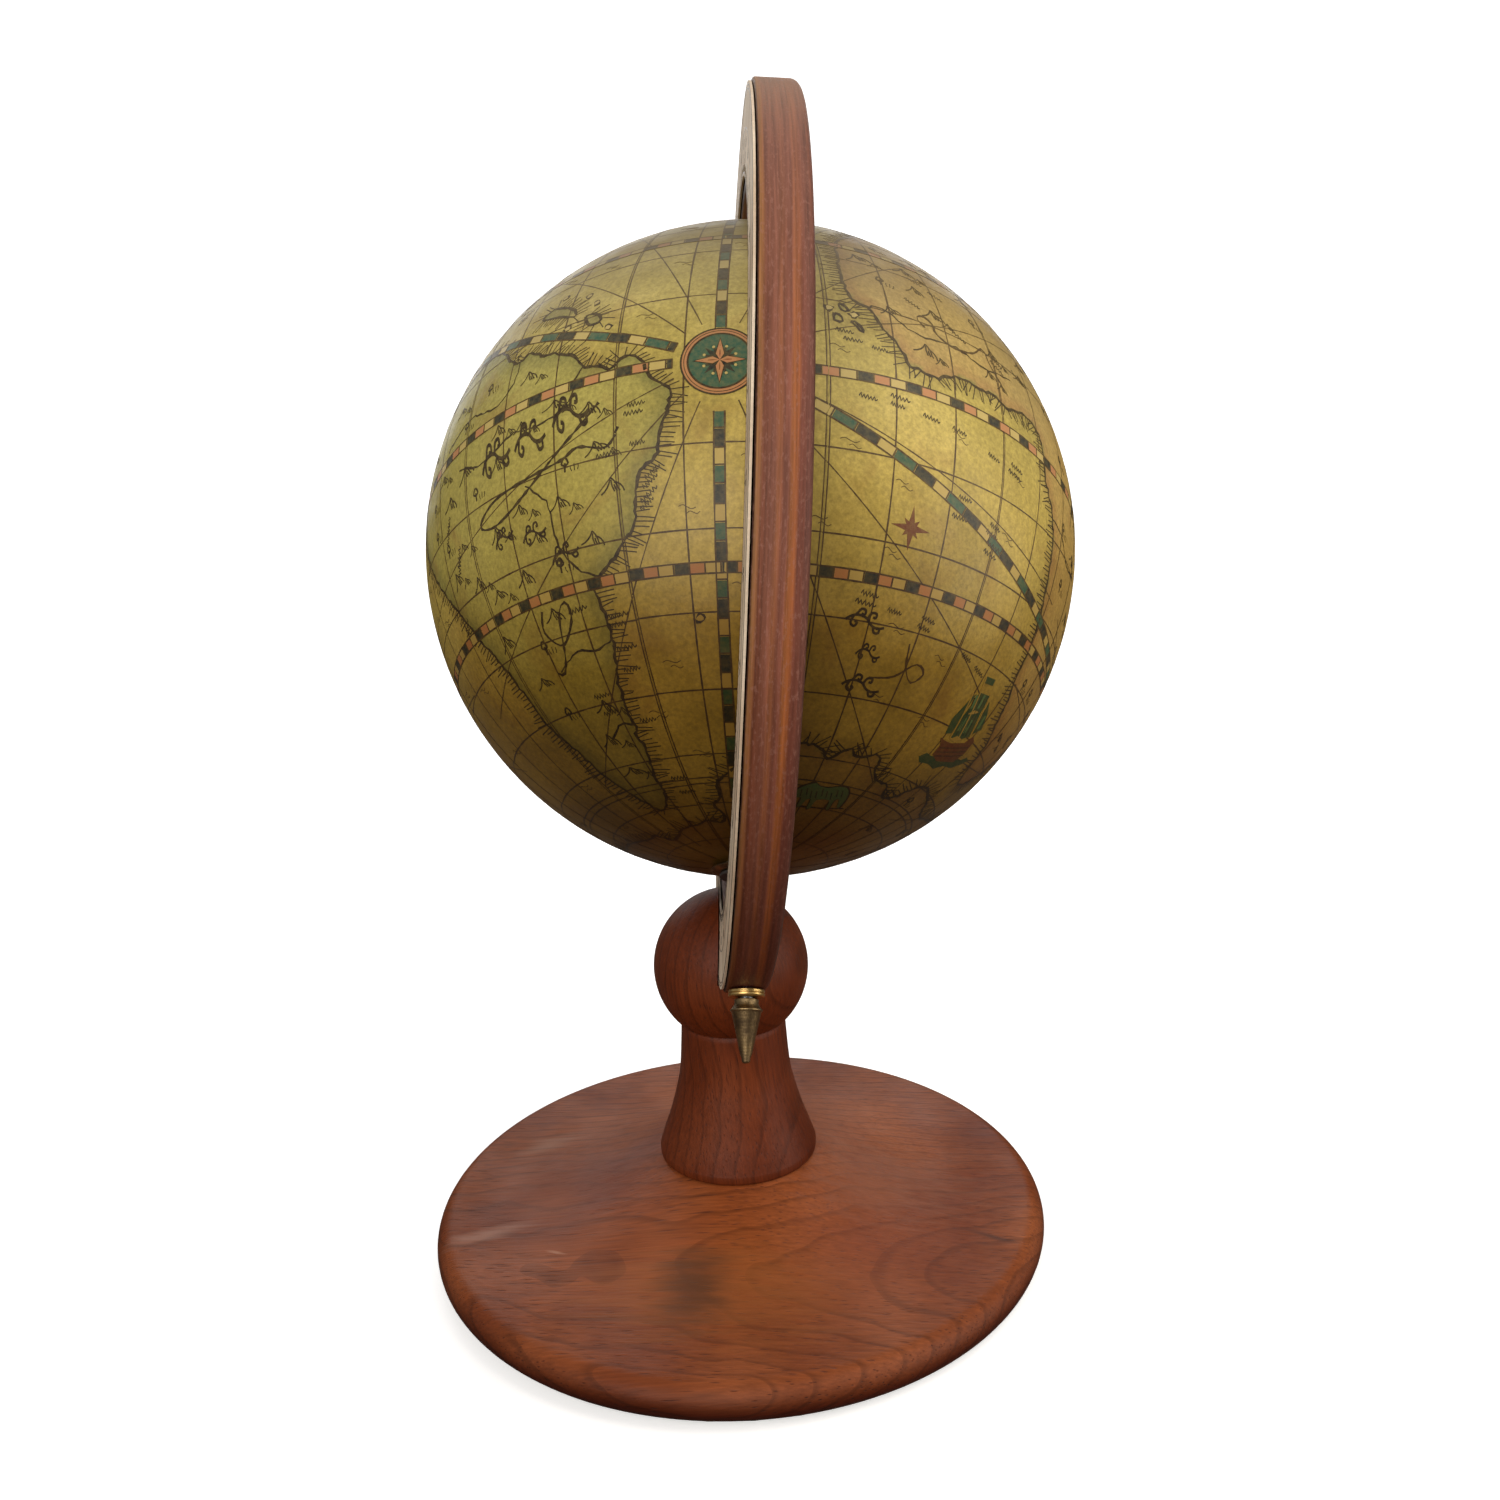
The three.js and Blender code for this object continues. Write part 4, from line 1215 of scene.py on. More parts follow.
OLD_WORLD = [
    (27, 40), (23, 36), (20, 32), (18.5, 28), (18.3, 25), (18, 21), (18.2, 17), (19, 13.5), (21.5, 12),
    (23.5, 8.5), (26, 5.5), (27, 3), (29, 2.5), (31.5, 2), (33.5, 3), (36.5, 4), (40.5, 3.7), (43.5, 4),
    (46, 3), (49.5, 4), (52, 4.5), (55.5, 3), (56.5, -1), (57, -4.5), (59.5, -8), (61.5, -13), (62.5, -19),
    (64, -25), (65, -30), (65.5, -34), (68, -38), (70, -41.5), (73, -44.5), (76, -49.5), (80, -52),
    (85, -50), (89, -45), (92, -39), (95, -32), (97, -26), (95.5, -20), (98, -13), (103, -5), (107, 2),
    (109, 9), (103, 9), (98, 13), (94, 20), (90, 27), (88.5, 30.5), (91, 29), (95, 22.5), (99, 16.5),
    (105, 17), (111, 23), (108, 27), (103, 29), (100, 34), (104, 32), (110, 29.5), (118, 29), (122, 25),
    (124, 17), (127, 10), (131, 15), (135, 23), (140, 27), (143, 22), (146, 14), (148, 5), (150.5, 2),
    (151.5, 8), (150.5, 13), (155, 12), (158, 17), (158.5, 24), (165, 28), (169, 35), (165, 41), (170, 44),
    (172, 38), (175, 42), (176, 48), (184, 54), (192, 60), (204, 64), (208, 68), (196, 72), (176, 73),
    (156, 76), (136, 77), (118, 78), (100, 75), (88, 73), (80, 70), (72, 71), (64, 73), (54, 71), (47, 66),
    (42, 60), (44, 57.5), (48, 59), (51, 64), (55, 66), (57, 62), (54, 57), (48, 55), (42, 55), (38, 54),
    (33, 53), (31, 50), (33, 48), (30, 46.5), (25, 47), (23, 44), (24, 41.9), (29, 42.6), (33, 46),
    (38, 47.5), (41, 47), (44.5, 42.5), (46.5, 41), (46, 45), (49, 47.5), (52.5, 44), (55, 40.5),
    (57, 41.5), (57, 45), (62, 46.5), (70, 46), (77, 45), (79, 41), (77, 36.5), (72, 34.5), (64, 34),
    (57, 36), (51, 35), (47, 38), (40, 40.8), (33, 41),
]
SOUTH_LAND = [
    (-52, -72), (-45.5, -74.5), (-29, -72), (-22.5, -72), (-15, -71), (-8.5, -72), (-6.5, -70),
    (-9.5, -67.5), (-6, -66), (-5.5, -62.5), (2, -59), (10, -55.5), (18.5, -54.8), (21.5, -55), (24, -55.8),
    (26, -57), (28, -56), (31, -54.5), (34, -55.7), (37.5, -55), (40, -54.5), (41.5, -55.7), (42.5, -57.5),
    (46, -59), (50.5, -59.3), (53.5, -61.5), (58.5, -60.5), (61, -58.5), (66, -56.5), (74, -57.5),
    (84, -60), (96, -58), (110, -56), (124, -59), (140, -57), (156, -60), (170, -58), (186, -61),
    (204, -60), (222, -64), (240, -66), (260, -68), (280, -70), (300, -72), (308, -72),
]
ISLANDS = [
    [(-38, 62), (-30, 60), (-22, 66), (-18, 72), (-26, 77), (-38, 78), (-48, 75), (-46, 68)],
    [(158, -18), (164, -14), (170, -12), (172, -17), (176, -13), (180, -20), (184, -28), (184, -36),
     (178, -43), (170, -42), (164, -38), (156, -40), (150, -38), (148, -30), (150, -24)],
    [(104, -16), (106, -22), (104, -31), (100, -33), (99.5, -27), (101, -20)],
    [(150, -2), (158, -6), (163, -9), (160, -10.5), (152, -6)],
    [(162, 2), (168, 6), (170, 0), (166, -5), (161, -2)],
    [(176, -3), (184, -4), (190, -9), (186, -11), (178, -8)],
    [(177, 38), (180, 42), (181, 46), (178, 45), (175, 40)],
    [(34, 57), (37, 59), (38, 63), (35, 65), (33, 61)],
    [(14, 68), (20, 67), (22, 70), (16, 71)],
    [(-31, 17), (-27, 15.5), (-23.5, 14), (-25, 16.5), (-29, 18.5)],
    [(-21.5, 13), (-19.5, 12.8), (-18.5, 11), (-20.5, 10.8)],
    [(17, 11.9), (18, 11.4), (18.3, 10.5), (17.3, 10.6)],
    [(16.2, 9.6), (17.1, 9.3), (17.2, 8.2), (16.1, 8.3)],
    [(18.6, 8.6), (19.4, 8.5), (20.6, 6.9), (19.8, 7.1)],
]
SMALL_ISLES = [
    (-17, 9), (-24.5, 11.5), (-27.5, 20.5), (-22, 18), (-20, 15.5), (19.2, 9.9), (15.5, 10.6), (2, 42),
    (-4, -36), (8, -44), (120, -8), (128, -22), (140, -30), (-120, -10), (-140, 12), (-150, -28),
    (-130, 30), (200, 20), (210, -30), (60, -52.5), (112, 5), (134, 4),
]
RIVERS = [
    [(-20.5, 3), (-21.7, 0.8), (-22.5, -2.5), (-27, -4.5), (-33, -4), (-40, -6), (-47, -4)],
    [(-33.5, 9), (-34, 5), (-38, 2.5), (-45, 4), (-52, 2)],
    [(-20, -28.5), (-24, -26.5), (-26.5, -22), (-27, -17), (-31, -13)],
    [(-20.5, -37), (-24, -38.5), (-29, -38), (-34, -40)],
    [(-22.3, -50.5), (-26, -50), (-30, -52)],
    [(21.5, 12), (22.3, 13), (24, 12.7), (26, 11.3), (28.5, 9.6), (32, 9.3), (36, 10), (42, 8.6), (49, 10)],
    [(84, 33), (82, 27), (79, 22), (80, 14), (76, 8), (73, 2), (70, -6)],
    [(60, -9.5), (65, -10), (70, -13), (76, -12)],
    [(95.5, -22), (90, -22), (84, -25), (78, -24)],
    [(124, 24), (127, 30), (132, 34)],
    [(140, 27), (136, 33), (128, 37)],
    [(166, 41), (158, 42), (150, 40), (144, 43)],
    [(118, 77), (116, 68), (120, 60), (116, 52)],
    [(70, 46), (68, 53), (64, 58)],
    [(-70, 27), (-78, 34), (-84, 42), (-82, 50)],
    [(-49, 45), (-60, 48), (-70, 46)],
]

LANDS = [(AMERICAS, 0.12), (OLD_WORLD, 1.0), (SOUTH_LAND, 0.75)] + [(isle, 0.3) for isle in ISLANDS]
coast_paths, land_shapes = [], []
for number, (outline, pinkness) in enumerate(LANDS):
    whole = outline is not SOUTH_LAND
    size = 0.28 if len(outline) > 20 else 0.12
    shore = path(outline, step=0.7, closed=whole, wiggle=size, seed=number)
    coast_paths.append((shore, whole))
    shore_lon = np.degrees(np.unwrap(np.radians(lon_lat(shore)[0])))
    shape = np.stack([shore_lon, lon_lat(shore)[1]], 1)
    if not whole:
        shape = np.concatenate([shape, [(shape[-1, 0], -90), (shape[0, 0], -90)]])
    land_shapes.append((shape, pinkness))

shore_points = np.concatenate([shore for shore, _ in coast_paths])
shore_tree = KDTree(len(shore_points))
for number, point in enumerate(shore_points):
    shore_tree.insert(point, number)
shore_tree.balance()


def land_at(lon, lat):
    """(mm inland, negative at sea, and share of pink wash) for arrays of places."""
    kind = np.zeros(len(lon))
    land = np.zeros(len(lon), bool)
    for shape, pinkness in land_shapes:
        for turn in (-360, 0, 360):
            hit = inside(lon + turn, lat, shape)
            land |= hit
            kind[hit] = pinkness
    away = np.array([shore_tree.find(d)[2] for d in direction(lon, lat)]) * GLOBE_R
    return np.where(land, away, -away), kind


# ---------------------------------------------------------------- the gores

GORE_COLUMNS = 24
GORE_ROWS = 136
SEAM_GAP = 0.05


def make_gore(number):
    """One paper gore: a thin curved leaf, closed round its edges."""
    middle = number * GORE_WIDTH
    rows, columns = GORE_ROWS + 1, GORE_COLUMNS + 1
    lat = np.repeat(np.linspace(-GORE_END, GORE_END, rows), columns)
    share = np.tile(np.linspace(-1, 1, columns), rows)
    half = GORE_WIDTH / 2 - np.degrees(SEAM_GAP / 2 / (GLOBE_R * np.cos(np.radians(lat))))
    lon = middle + share * half
    d = direction(lon, lat)
    count = rows * columns
    points = np.concatenate([on_globe(d), on_globe(d, PAPER_INNER_R - GLOBE_R)])
    faces = []
    for r in range(rows - 1):
        for c in range(columns - 1):
            a = r * columns + c
            quad = (a, a + 1, a + 1 + columns, a + columns)
            faces += [quad, tuple(k + count for k in reversed(quad))]
    rim = list(range(columns))
    rim += [r * columns + columns - 1 for r in range(1, rows)]
    rim += [(rows - 1) * columns + c for c in range(columns - 2, -1, -1)]
    rim += [r * columns for r in range(rows - 2, 0, -1)]
    faces += [(b, a, a + count, b + count) for a, b in zip(rim, rim[1:] + rim[:1])]
    mesh = mesh_of(points, faces)
    inland, kind = land_at(lon, lat)
    attribute(mesh, "inland", np.tile(np.clip(inland, -20, 20), 2))
    attribute(mesh, "pink_wash", np.tile(kind, 2))
    title = f"gore_{number + 1:02d}"
    finish_piece(title, mesh, MAP_PAPER, "globe", ["map_" + title])


for gore_number in range(GORES):
    make_gore(gore_number)

# ---------------------------------------------------------------- what is printed on the map

# The order of the inks is the order of their pieces. A print's lift is its height off the paper in mm,
# and what is printed over another ink has the greater lift.
brown = Print("print_lines", INK_BROWN)
coast = Print("print_coasts", INK_COAST)
black = Print("print_black", INK_BLACK)
green = Print("print_green", INK_GREEN)
teal = Print("print_teal", INK_TEAL)
pink = Print("print_rose", INK_PINK)
cream = Print("print_cream", INK_CREAM)
red = Print("print_red", INK_RED)

LINE_W = 0.32
PARALLELS = (12.4, 24.1, 35.3, 46.4, 57.0, 67.0, 76.5)
TROPIC = 29.3
BAND_W = 2.1
SEAM_LINES = 0.27  # mm from a seam to the line printed on each side of it


def spaced(start, end, step):
    """Degrees from start to end, at most a step apart."""
    return np.linspace(start, end, max(2, int(abs(end - start) / step) + 2))


def parallel(lat, start, end):
    """The path along a parallel."""
    lon = spaced(start, end, 1.4 / math.cos(math.radians(lat)))
    return direction(lon, np.full(len(lon), lat))


def first_meridian_path(side, start, end):
    """The path along longitude 0, north (side 1) or south (side -1) of the equator."""
    lat = spaced(start, end, 1.3)
    return direction(np.zeros(len(lat)), side * lat)


def ecliptic_lat(lon):
    """The ecliptic's latitude, which swings a little further in the south."""
    rise = np.sin(np.radians(lon))
    return -np.where(rise > 0, 27.5, 24.4) * rise


def ecliptic(start, end):
    """The path along the ecliptic."""
    lon = spaced(start, end, 1.3)
    return direction(lon, ecliptic_lat(lon))


def draw_graticule():
    """Parallels, and meridians every 10 degrees. On a seam the meridian is printed twice, on both gores."""
    for lat in PARALLELS:
        for side in (-1, 1):
            line(brown, parallel(side * lat, -180, 179.99), LINE_W, 0.02)
    for lon in range(-175, 185, 10):
        seam = (lon - GORE_WIDTH / 2) % GORE_WIDTH == 0
        end = 83 if seam else 78
        lat = spaced(-end, end, 1.5)
        for offset in ((-SEAM_LINES, SEAM_LINES) if seam else (0,)):
            slant = np.degrees(offset / (GLOBE_R * np.maximum(np.cos(np.radians(lat)), 0.15)))
            line(brown, direction(lon + slant, lat), LINE_W * (0.8 if seam else 1.1), 0.02)


def great_circle(start_mm, end_mm, bearing_deg, hub=(0, 0)):
    """A straight line of sailing from a hub, between two distances from it."""
    middle, east, north = compass(*hub)
    bearing = math.radians(bearing_deg)
    heading = math.cos(bearing) * north + math.sin(bearing) * east
    count = int((end_mm - start_mm) / 2) + 2
    reach = np.linspace(start_mm, end_mm, count)[:, None] / GLOBE_R
    return np.cos(reach) * middle + np.sin(reach) * heading


def band(where, start, end, pattern):
    """A banded circle: blocks of ink between two thin lines. where(a, b) is its path between degrees."""
    for side in (-1, 1):
        line(brown, beside(where(start, end), side * BAND_W / 2), LINE_W, 0.05)
    at, k = start, 0
    while at < end - 0.2:
        length, target = pattern[k % len(pattern)]
        stop = min(at + length, end)
        d = where(at + 0.1, stop - 0.05)
        line(target, d, BAND_W - 0.1, 0.035, ragged=0.03)
        middle = where(stop - 0.08, stop + 0.08)
        bar = np.stack([beside(middle, BAND_W / 2)[0], beside(middle, -BAND_W / 2)[0]])
        line(brown, bar, LINE_W, 0.05, ragged=0)
        at += length
        k += 1


def draw_bands():
    """The equator, tropics, ecliptic and first meridian in blocks of ink, and the polar circles as lines."""
    rosy = [(2.5, black), (2.5, pink), (2.5, cream)]
    leafy = [(3.4, green), (3.4, black), (2.6, cream)]
    # The equator is printed a little low on the gores east of the rose.
    band(partial(parallel, 0.0), -180, -6.6, rosy)
    band(partial(parallel, -1.0), 6.6, 75, rosy[1:] + rosy[:1])
    band(partial(parallel, -0.4), 75, 180, rosy)
    for lat in (-TROPIC, TROPIC):
        band(partial(parallel, lat), -180, 180, rosy)
    band(ecliptic, -179.9, -6.2, leafy)
    band(ecliptic, 6.2, 179.9, leafy)
    for side, start in ((-1, 7.9), (1, 5.6)):
        band(partial(first_meridian_path, side), start, 66, [(2.5, green), (2.8, black), (2.4, cream)])
    for lat in (-62, 62):
        for offset in (-0.8, 0.8):
            line(brown, beside(parallel(lat, -180, 179.99), offset), LINE_W, 0.03)


def draw_rhumbs():
    """Straight sailing lines from the rose and from three other hubs."""
    for k in range(16):
        if k % 4:
            line(brown, great_circle(9.6, 96, 22.5 * k), LINE_W * 0.85, 0.018)
    for hub in ((176, -6), (118, -34), (-112, -22)):
        for k in range(16):
            line(brown, great_circle(3, 58, 22.5 * k + 6, hub), LINE_W * 0.9, 0.018)


def kite(half_width, waist, tip, foot=0):
    """The outline of one arm of a star."""
    return [(0, foot), (half_width, waist), (0, tip), (-half_width, waist)]


def solid_ring(target, lon, lat, radius, width, lift):
    """A closed ring of print. Rings inside one figure don't slip with the gores."""
    middle, east, north = compass(lon, lat)
    turn = np.linspace(0, math.tau, 73)[:-1, None]
    reach = radius / GLOBE_R
    run = np.cos(reach) * middle + np.sin(reach) * (np.cos(turn) * east + np.sin(turn) * north)
    side = unit(np.cross(run, np.roll(run, -1, axis=0) - np.roll(run, 1, axis=0))) * width / 2 / GLOBE_R
    points = [on_globe(unit(run + side), lift), on_globe(unit(run - side), lift), on_globe(run, -INK_SINK)]
    target.add(np.concatenate(points), wedge_faces(len(run), closed=True))


def draw_rose(lon, lat, size):
    """A compass rose: a rose-tinted ring round a green disc, with a four-armed star on it."""
    def circle(radius, count=72):
        """The outline of a disc."""
        turns = [math.tau * i / count for i in range(count)]
        return [(radius * math.cos(turn), radius * math.sin(turn)) for turn in turns]

    patch(pink, lon, lat, 0, circle(7.5 * size), 0.055)
    patch(green, lon, lat, 0, circle(6.2 * size), 0.07)
    solid_ring(coast, lon, lat, 7.6 * size, 0.36, 0.085)
    solid_ring(brown, lon, lat, 7.0 * size, 0.16, 0.085)
    solid_ring(coast, lon, lat, 6.25 * size, 0.4, 0.085)
    for k in range(8):
        patch(black, lon, lat, 22.5 + 45 * k, kite(0.55 * size, 1.3 * size, 3.9 * size), 0.085)
    for k in range(4):
        patch(black, lon, lat, 45 + 90 * k, kite(0.8 * size, 1.2 * size, 4.2 * size), 0.09)
        dot = [(x, y + 3.3 * size) for x, y in circle(0.3 * size, 10)]
        patch(cream, lon, lat, 22.5 + 90 * k, dot, 0.11)
        patch(cream, lon, lat, -22.5 + 90 * k, dot, 0.11)
    for k in range(4):
        patch(coast, lon, lat, 90 * k, kite(1.05 * size, 1.35 * size, 5.35 * size, foot=-0.2), 0.105)
        patch(pink, lon, lat, 90 * k, kite(0.78 * size, 1.4 * size, 4.85 * size), 0.12)
        patch(red, lon, lat, 90 * k, kite(0.12, 1.4 * size, 4.2 * size, foot=0.5), 0.13)


def draw_coasts():
    """Coastlines, rivers, and small islands that are ringed with ink."""
    for shore, _ in coast_paths:
        line(coast, shore, 0.66, 0.03, ragged=0.4)
    for course in RIVERS:
        line(coast, path(course, step=1.0, wiggle=0.25, seed=5), 0.4, 0.028, ragged=0.4)
    for lon, lat in SMALL_ISLES:
        blob = [(r * math.cos(a), r * 0.8 * math.sin(a)) for a, r in
                ((math.tau * k / 9, draw.uniform(0.6, 1.1)) for k in range(9))]
        patch(coast, lon, lat, draw.uniform(0, 180), [(x * 1.35, y * 1.35) for x, y in blob], 0.028)
        patch(cream, lon, lat, 0, [(x * 0.85, y * 0.85) for x, y in blob], 0.04)


def draw_ship(lon, lat, turn):
    """A small two-masted ship under sail, on a tuft of waves."""
    def shape(target, outline, lift):
        """Prints a part of the ship, a little larger than it is drawn."""
        patch(target, lon, lat, turn, [(x * 1.14, y * 1.08) for x, y in outline], lift)

    shape(green, [(-8, -1.6), (-6.5, -0.6), (-5, -1.2), (5, -2.2), (6.8, -1.6), (8, -2.6), (6, -3.4),
                  (3.2, -4.2), (0.4, -3.6), (-2, -4.4), (-4.4, -3.2), (-7, -3)], 0.05)
    shape(red, [(-5.2, 3.2), (-4.2, 1.4), (-4.8, -0.8), (-2.6, -2.4), (2.8, -2.6), (4.6, -0.6), (5.6, 2.4),
                (4.4, 3.8), (2.6, 2.2), (-1.6, 2.1), (-3.6, 2.6)], 0.065)
    shape(green, [(-4.6, 4.2), (-4.9, 7.6), (-2.2, 12.6), (-1.2, 13.4), (-2.6, 9), (-3, 4.4)], 0.07)
    shape(green, [(-2.4, 3.4), (-2.2, 8.4), (-0.4, 13.8), (3, 13.2), (2.6, 8.6), (2.9, 3.8), (0.4, 3)], 0.08)
    shape(green, [(3.6, 4.4), (3.4, 8.4), (4.0, 11.8), (5.2, 9), (5.8, 5.4)], 0.07)
    shape(green, [(-0.2, 17.4), (2.9, 16.8), (2.7, 15.4), (-0.2, 15.9)], 0.08)
    for x, y in ((-1.9, 5), (0.2, 4.6), (3.9, 5.6), (-1.5, 10), (0.7, 10.2)):
        shape(teal, [(x, y), (x + 0.8, y + 0.2), (x + 1.1, y + 3), (x + 0.5, y + 3.2)], 0.09)
    shape(cream, [(-1.3, 8.9), (0.4, 9.9), (2.0, 9.5), (0.6, 9.0)], 0.095)
    shape(cream, [(-2.5, 3.1), (-0.9, 3.9), (0.8, 3.2), (-0.8, 2.3)], 0.095)
    for x0, y0, x1, y1 in ((-0.2, 2.2, -0.3, 17.4), (-2.7, 3.2, -2.3, 13.6), (3.2, 3.2, 3.2, 13.6)):
        shape(cream, [(x0 - 0.16, y0), (x0 + 0.16, y0), (x1 + 0.16, y1), (x1 - 0.16, y1)], 0.1)
    for x in (-1.4, 0.6, 1.6):
        shape(black, [(x - 0.09, 4), (x + 0.09, 4), (x + 0.2, 12.6), (x + 0.05, 12.6)], 0.1)
    for y in (-1.2, -0.2, 0.8):
        shape(coast, [(-4, y), (4.6, y + 0.2), (4.6, y + 0.36), (-4, y + 0.16)], 0.085)


def draw_beast(lon, lat, turn):
    """A shaggy four-legged beast in the southern land."""
    body = smooth([
        (-6.2, 0.6), (-5.4, 2.2), (-4, 3.2), (-2.6, 3.8), (-1.6, 3), (0.4, 2.6), (2.6, 3), (4.6, 2.8),
        (5.6, 1.4), (5.8, -0.6), (5.2, -3.4), (4.6, -3.4), (4.2, -0.9), (3.2, -1.2), (2.9, -4), (2.2, -4),
        (2, -1.2), (-0.8, -1.2), (-1.4, -3.9), (-2.2, -3.9), (-2.2, -1.2), (-3, -1.2), (-3.8, -3.6),
        (-4.5, -3.5), (-4.4, -0.9), (-5.6, -0.9),
    ], 3, closed=True)[:-1]
    patch(coast, lon, lat, turn, [(x * 1.07, y * 1.09) for x, y in body], 0.06)
    patch(teal, lon, lat, turn, body, 0.075)
    for k in range(9):
        x, sag = -4.9 + 1.15 * k, 0.5 * math.sin(k * 1.9)
        hair = [(x, -0.4 + sag), (x + 0.22, -0.4 + sag), (x - 0.1, 1.7 + sag), (x - 0.32, 1.7 + sag)]
        patch(black, lon, lat, turn, hair, 0.09)
    patch(coast, lon, lat, turn, [(-7, -3.9), (6.4, -4.1), (6.4, -3.8), (-7, -3.6)], 0.06)


draw_graticule()
draw_rhumbs()
draw_coasts()
draw_bands()
draw_rose(0, 0, 1.0)
draw_rose(176, -6, 0.8)
draw_ship(61.6, -49.6, 20)
draw_ship(-132, -34, -6)
draw_ship(122, -20, 4)
draw_beast(31, -64.3, 8)
draw_beast(146, -64, 0)

# ---------------------------------------------------------------- small marks, set out by geometry nodes


def stamp_tree():
    """Sets a small printed mark at each point of a mesh, upright on the map, and presses it to the globe.

    The points hold turn (radians) and stretch (x, y, 1). A mark's upper corners have upper 1, its feet 0.
    """
    tree, given = node_group("stamp_on_globe", {
        "Mark": "Object", "Centre": "Vector", "Axis": "Vector", "Radius": "Float", "Lift": "Float",
        "Sink": "Float", "Material": "Material",
    })
    mark = add(tree, "GeometryNodeObjectInfo", None, {"Object": given["Mark"]})
    here = add(tree, "GeometryNodeInputPosition")
    out = add(tree, "ShaderNodeVectorMath", {"operation": "SUBTRACT"}, {0: here, 1: given["Centre"]})
    upright = add(tree, "FunctionNodeAlignRotationToVector", {"axis": "Z"}, {"Vector": out})
    north = add(tree, "FunctionNodeAlignRotationToVector", {"axis": "Y", "pivot_axis": "Z"}, {
        "Rotation": upright, "Vector": given["Axis"],
    })
    turn = add(tree, "GeometryNodeInputNamedAttribute", {"data_type": "FLOAT"}, {"Name": "turn"})
    about = add(tree, "FunctionNodeAxisAngleToRotation", None, {"Axis": (0, 0, 1), "Angle": turn})
    heading = add(tree, "FunctionNodeRotateRotation", {"rotation_space": "LOCAL"}, {
        "Rotation": north, "Rotate By": about,
    })
    stretch = add(tree, "GeometryNodeInputNamedAttribute", {"data_type": "FLOAT_VECTOR"}, {"Name": "stretch"})
    set_out = add(tree, "GeometryNodeInstanceOnPoints", None, {
        "Points": given["Geometry"], "Instance": mark.outputs["Geometry"], "Rotation": heading,
        "Scale": stretch,
    })
    real = add(tree, "GeometryNodeRealizeInstances", None, {0: set_out})
    again = add(tree, "GeometryNodeInputPosition")
    away = add(tree, "ShaderNodeVectorMath", {"operation": "SUBTRACT"}, {0: again, 1: given["Centre"]})
    ray = add(tree, "ShaderNodeVectorMath", {"operation": "NORMALIZE"}, {0: away})
    upper = add(tree, "GeometryNodeInputNamedAttribute", {"data_type": "FLOAT"}, {"Name": "upper"})
    level = add(tree, "ShaderNodeMapRange", None, {
        "Value": upper, "To Min": given["Sink"], "To Max": given["Lift"],
    })
    reach = add(tree, "ShaderNodeMath", {"operation": "ADD"}, {0: given["Radius"], 1: level})
    pressed = add(tree, "ShaderNodeVectorMath", {"operation": "SCALE"}, {0: ray, "Scale": reach})
    place = add(tree, "ShaderNodeVectorMath", {"operation": "ADD"}, {0: pressed, 1: given["Centre"]})
    moved = add(tree, "GeometryNodeSetPosition", None, {"Geometry": real, "Position": place})
    inked = add(tree, "GeometryNodeSetMaterial", None, {"Geometry": moved, "Material": given["Material"]})
    add(tree, "NodeGroupOutput", None, {0: inked})
    return tree


STAMP = stamp_tree()


def stroke_mark(strokes, width):
    """A mark of a few pen strokes, each a list of (x, y) in mm, as closed wedges."""
    points, faces, upper = [], [], []
    for stroke in strokes:
        stroke = np.asarray(stroke, float)
        steps = np.gradient(stroke, axis=0)
        side = np.stack([-steps[:, 1], steps[:, 0]], 1)
        side = side / np.linalg.norm(side, axis=1, keepdims=True) * width / 2
        count, base = len(stroke), len(points)
        for row, level in ((stroke + side, 1), (stroke - side, 1), (stroke, 0)):
            points += [(x, y, 0.01 * level) for x, y in row]
            upper += [level] * count
        faces += [tuple(k + base for k in face) for face in wedge_faces(count)]
    mesh = mesh_of(points, faces)
    attribute(mesh, "upper", upper)
    return mesh


def stamp(target, mark, places, lift):
    """Adds the mark at (lon, lat, turn in degrees, x scale, y scale) places to an ink's print."""
    rows = np.array(places, float)
    spots = mesh_of(on_globe(direction(rows[:, 0], rows[:, 1])), [])
    attribute(spots, "turn", np.radians(rows[:, 2]))
    attribute(spots, "stretch", np.stack([rows[:, 3], rows[:, 4], np.ones(len(rows))], 1))
    tool = bpy.data.objects.new("mark", mark)
    result = grown(spots, STAMP, {
        "Mark": tool, "Centre": tuple(CENTRE * MM), "Axis": tuple(AXIS), "Radius": float(GLOBE_R * MM),
        "Lift": lift * MM, "Sink": -INK_SINK * MM, "Material": target.material,
    })
    target.add(points_of(result), [tuple(face.vertices) for face in result.polygons])
    bpy.data.objects.remove(tool)


def bow(x0, y0, x1, y1, rise, steps=5):
    """A bent stroke between two points."""
    t = np.linspace(0, 1, steps)
    nx, ny = y0 - y1, x1 - x0
    size = math.hypot(nx, ny)
    hump = 4 * rise * t * (1 - t)
    return np.stack([x0 + (x1 - x0) * t + nx / size * hump, y0 + (y1 - y0) * t + ny / size * hump], 1)


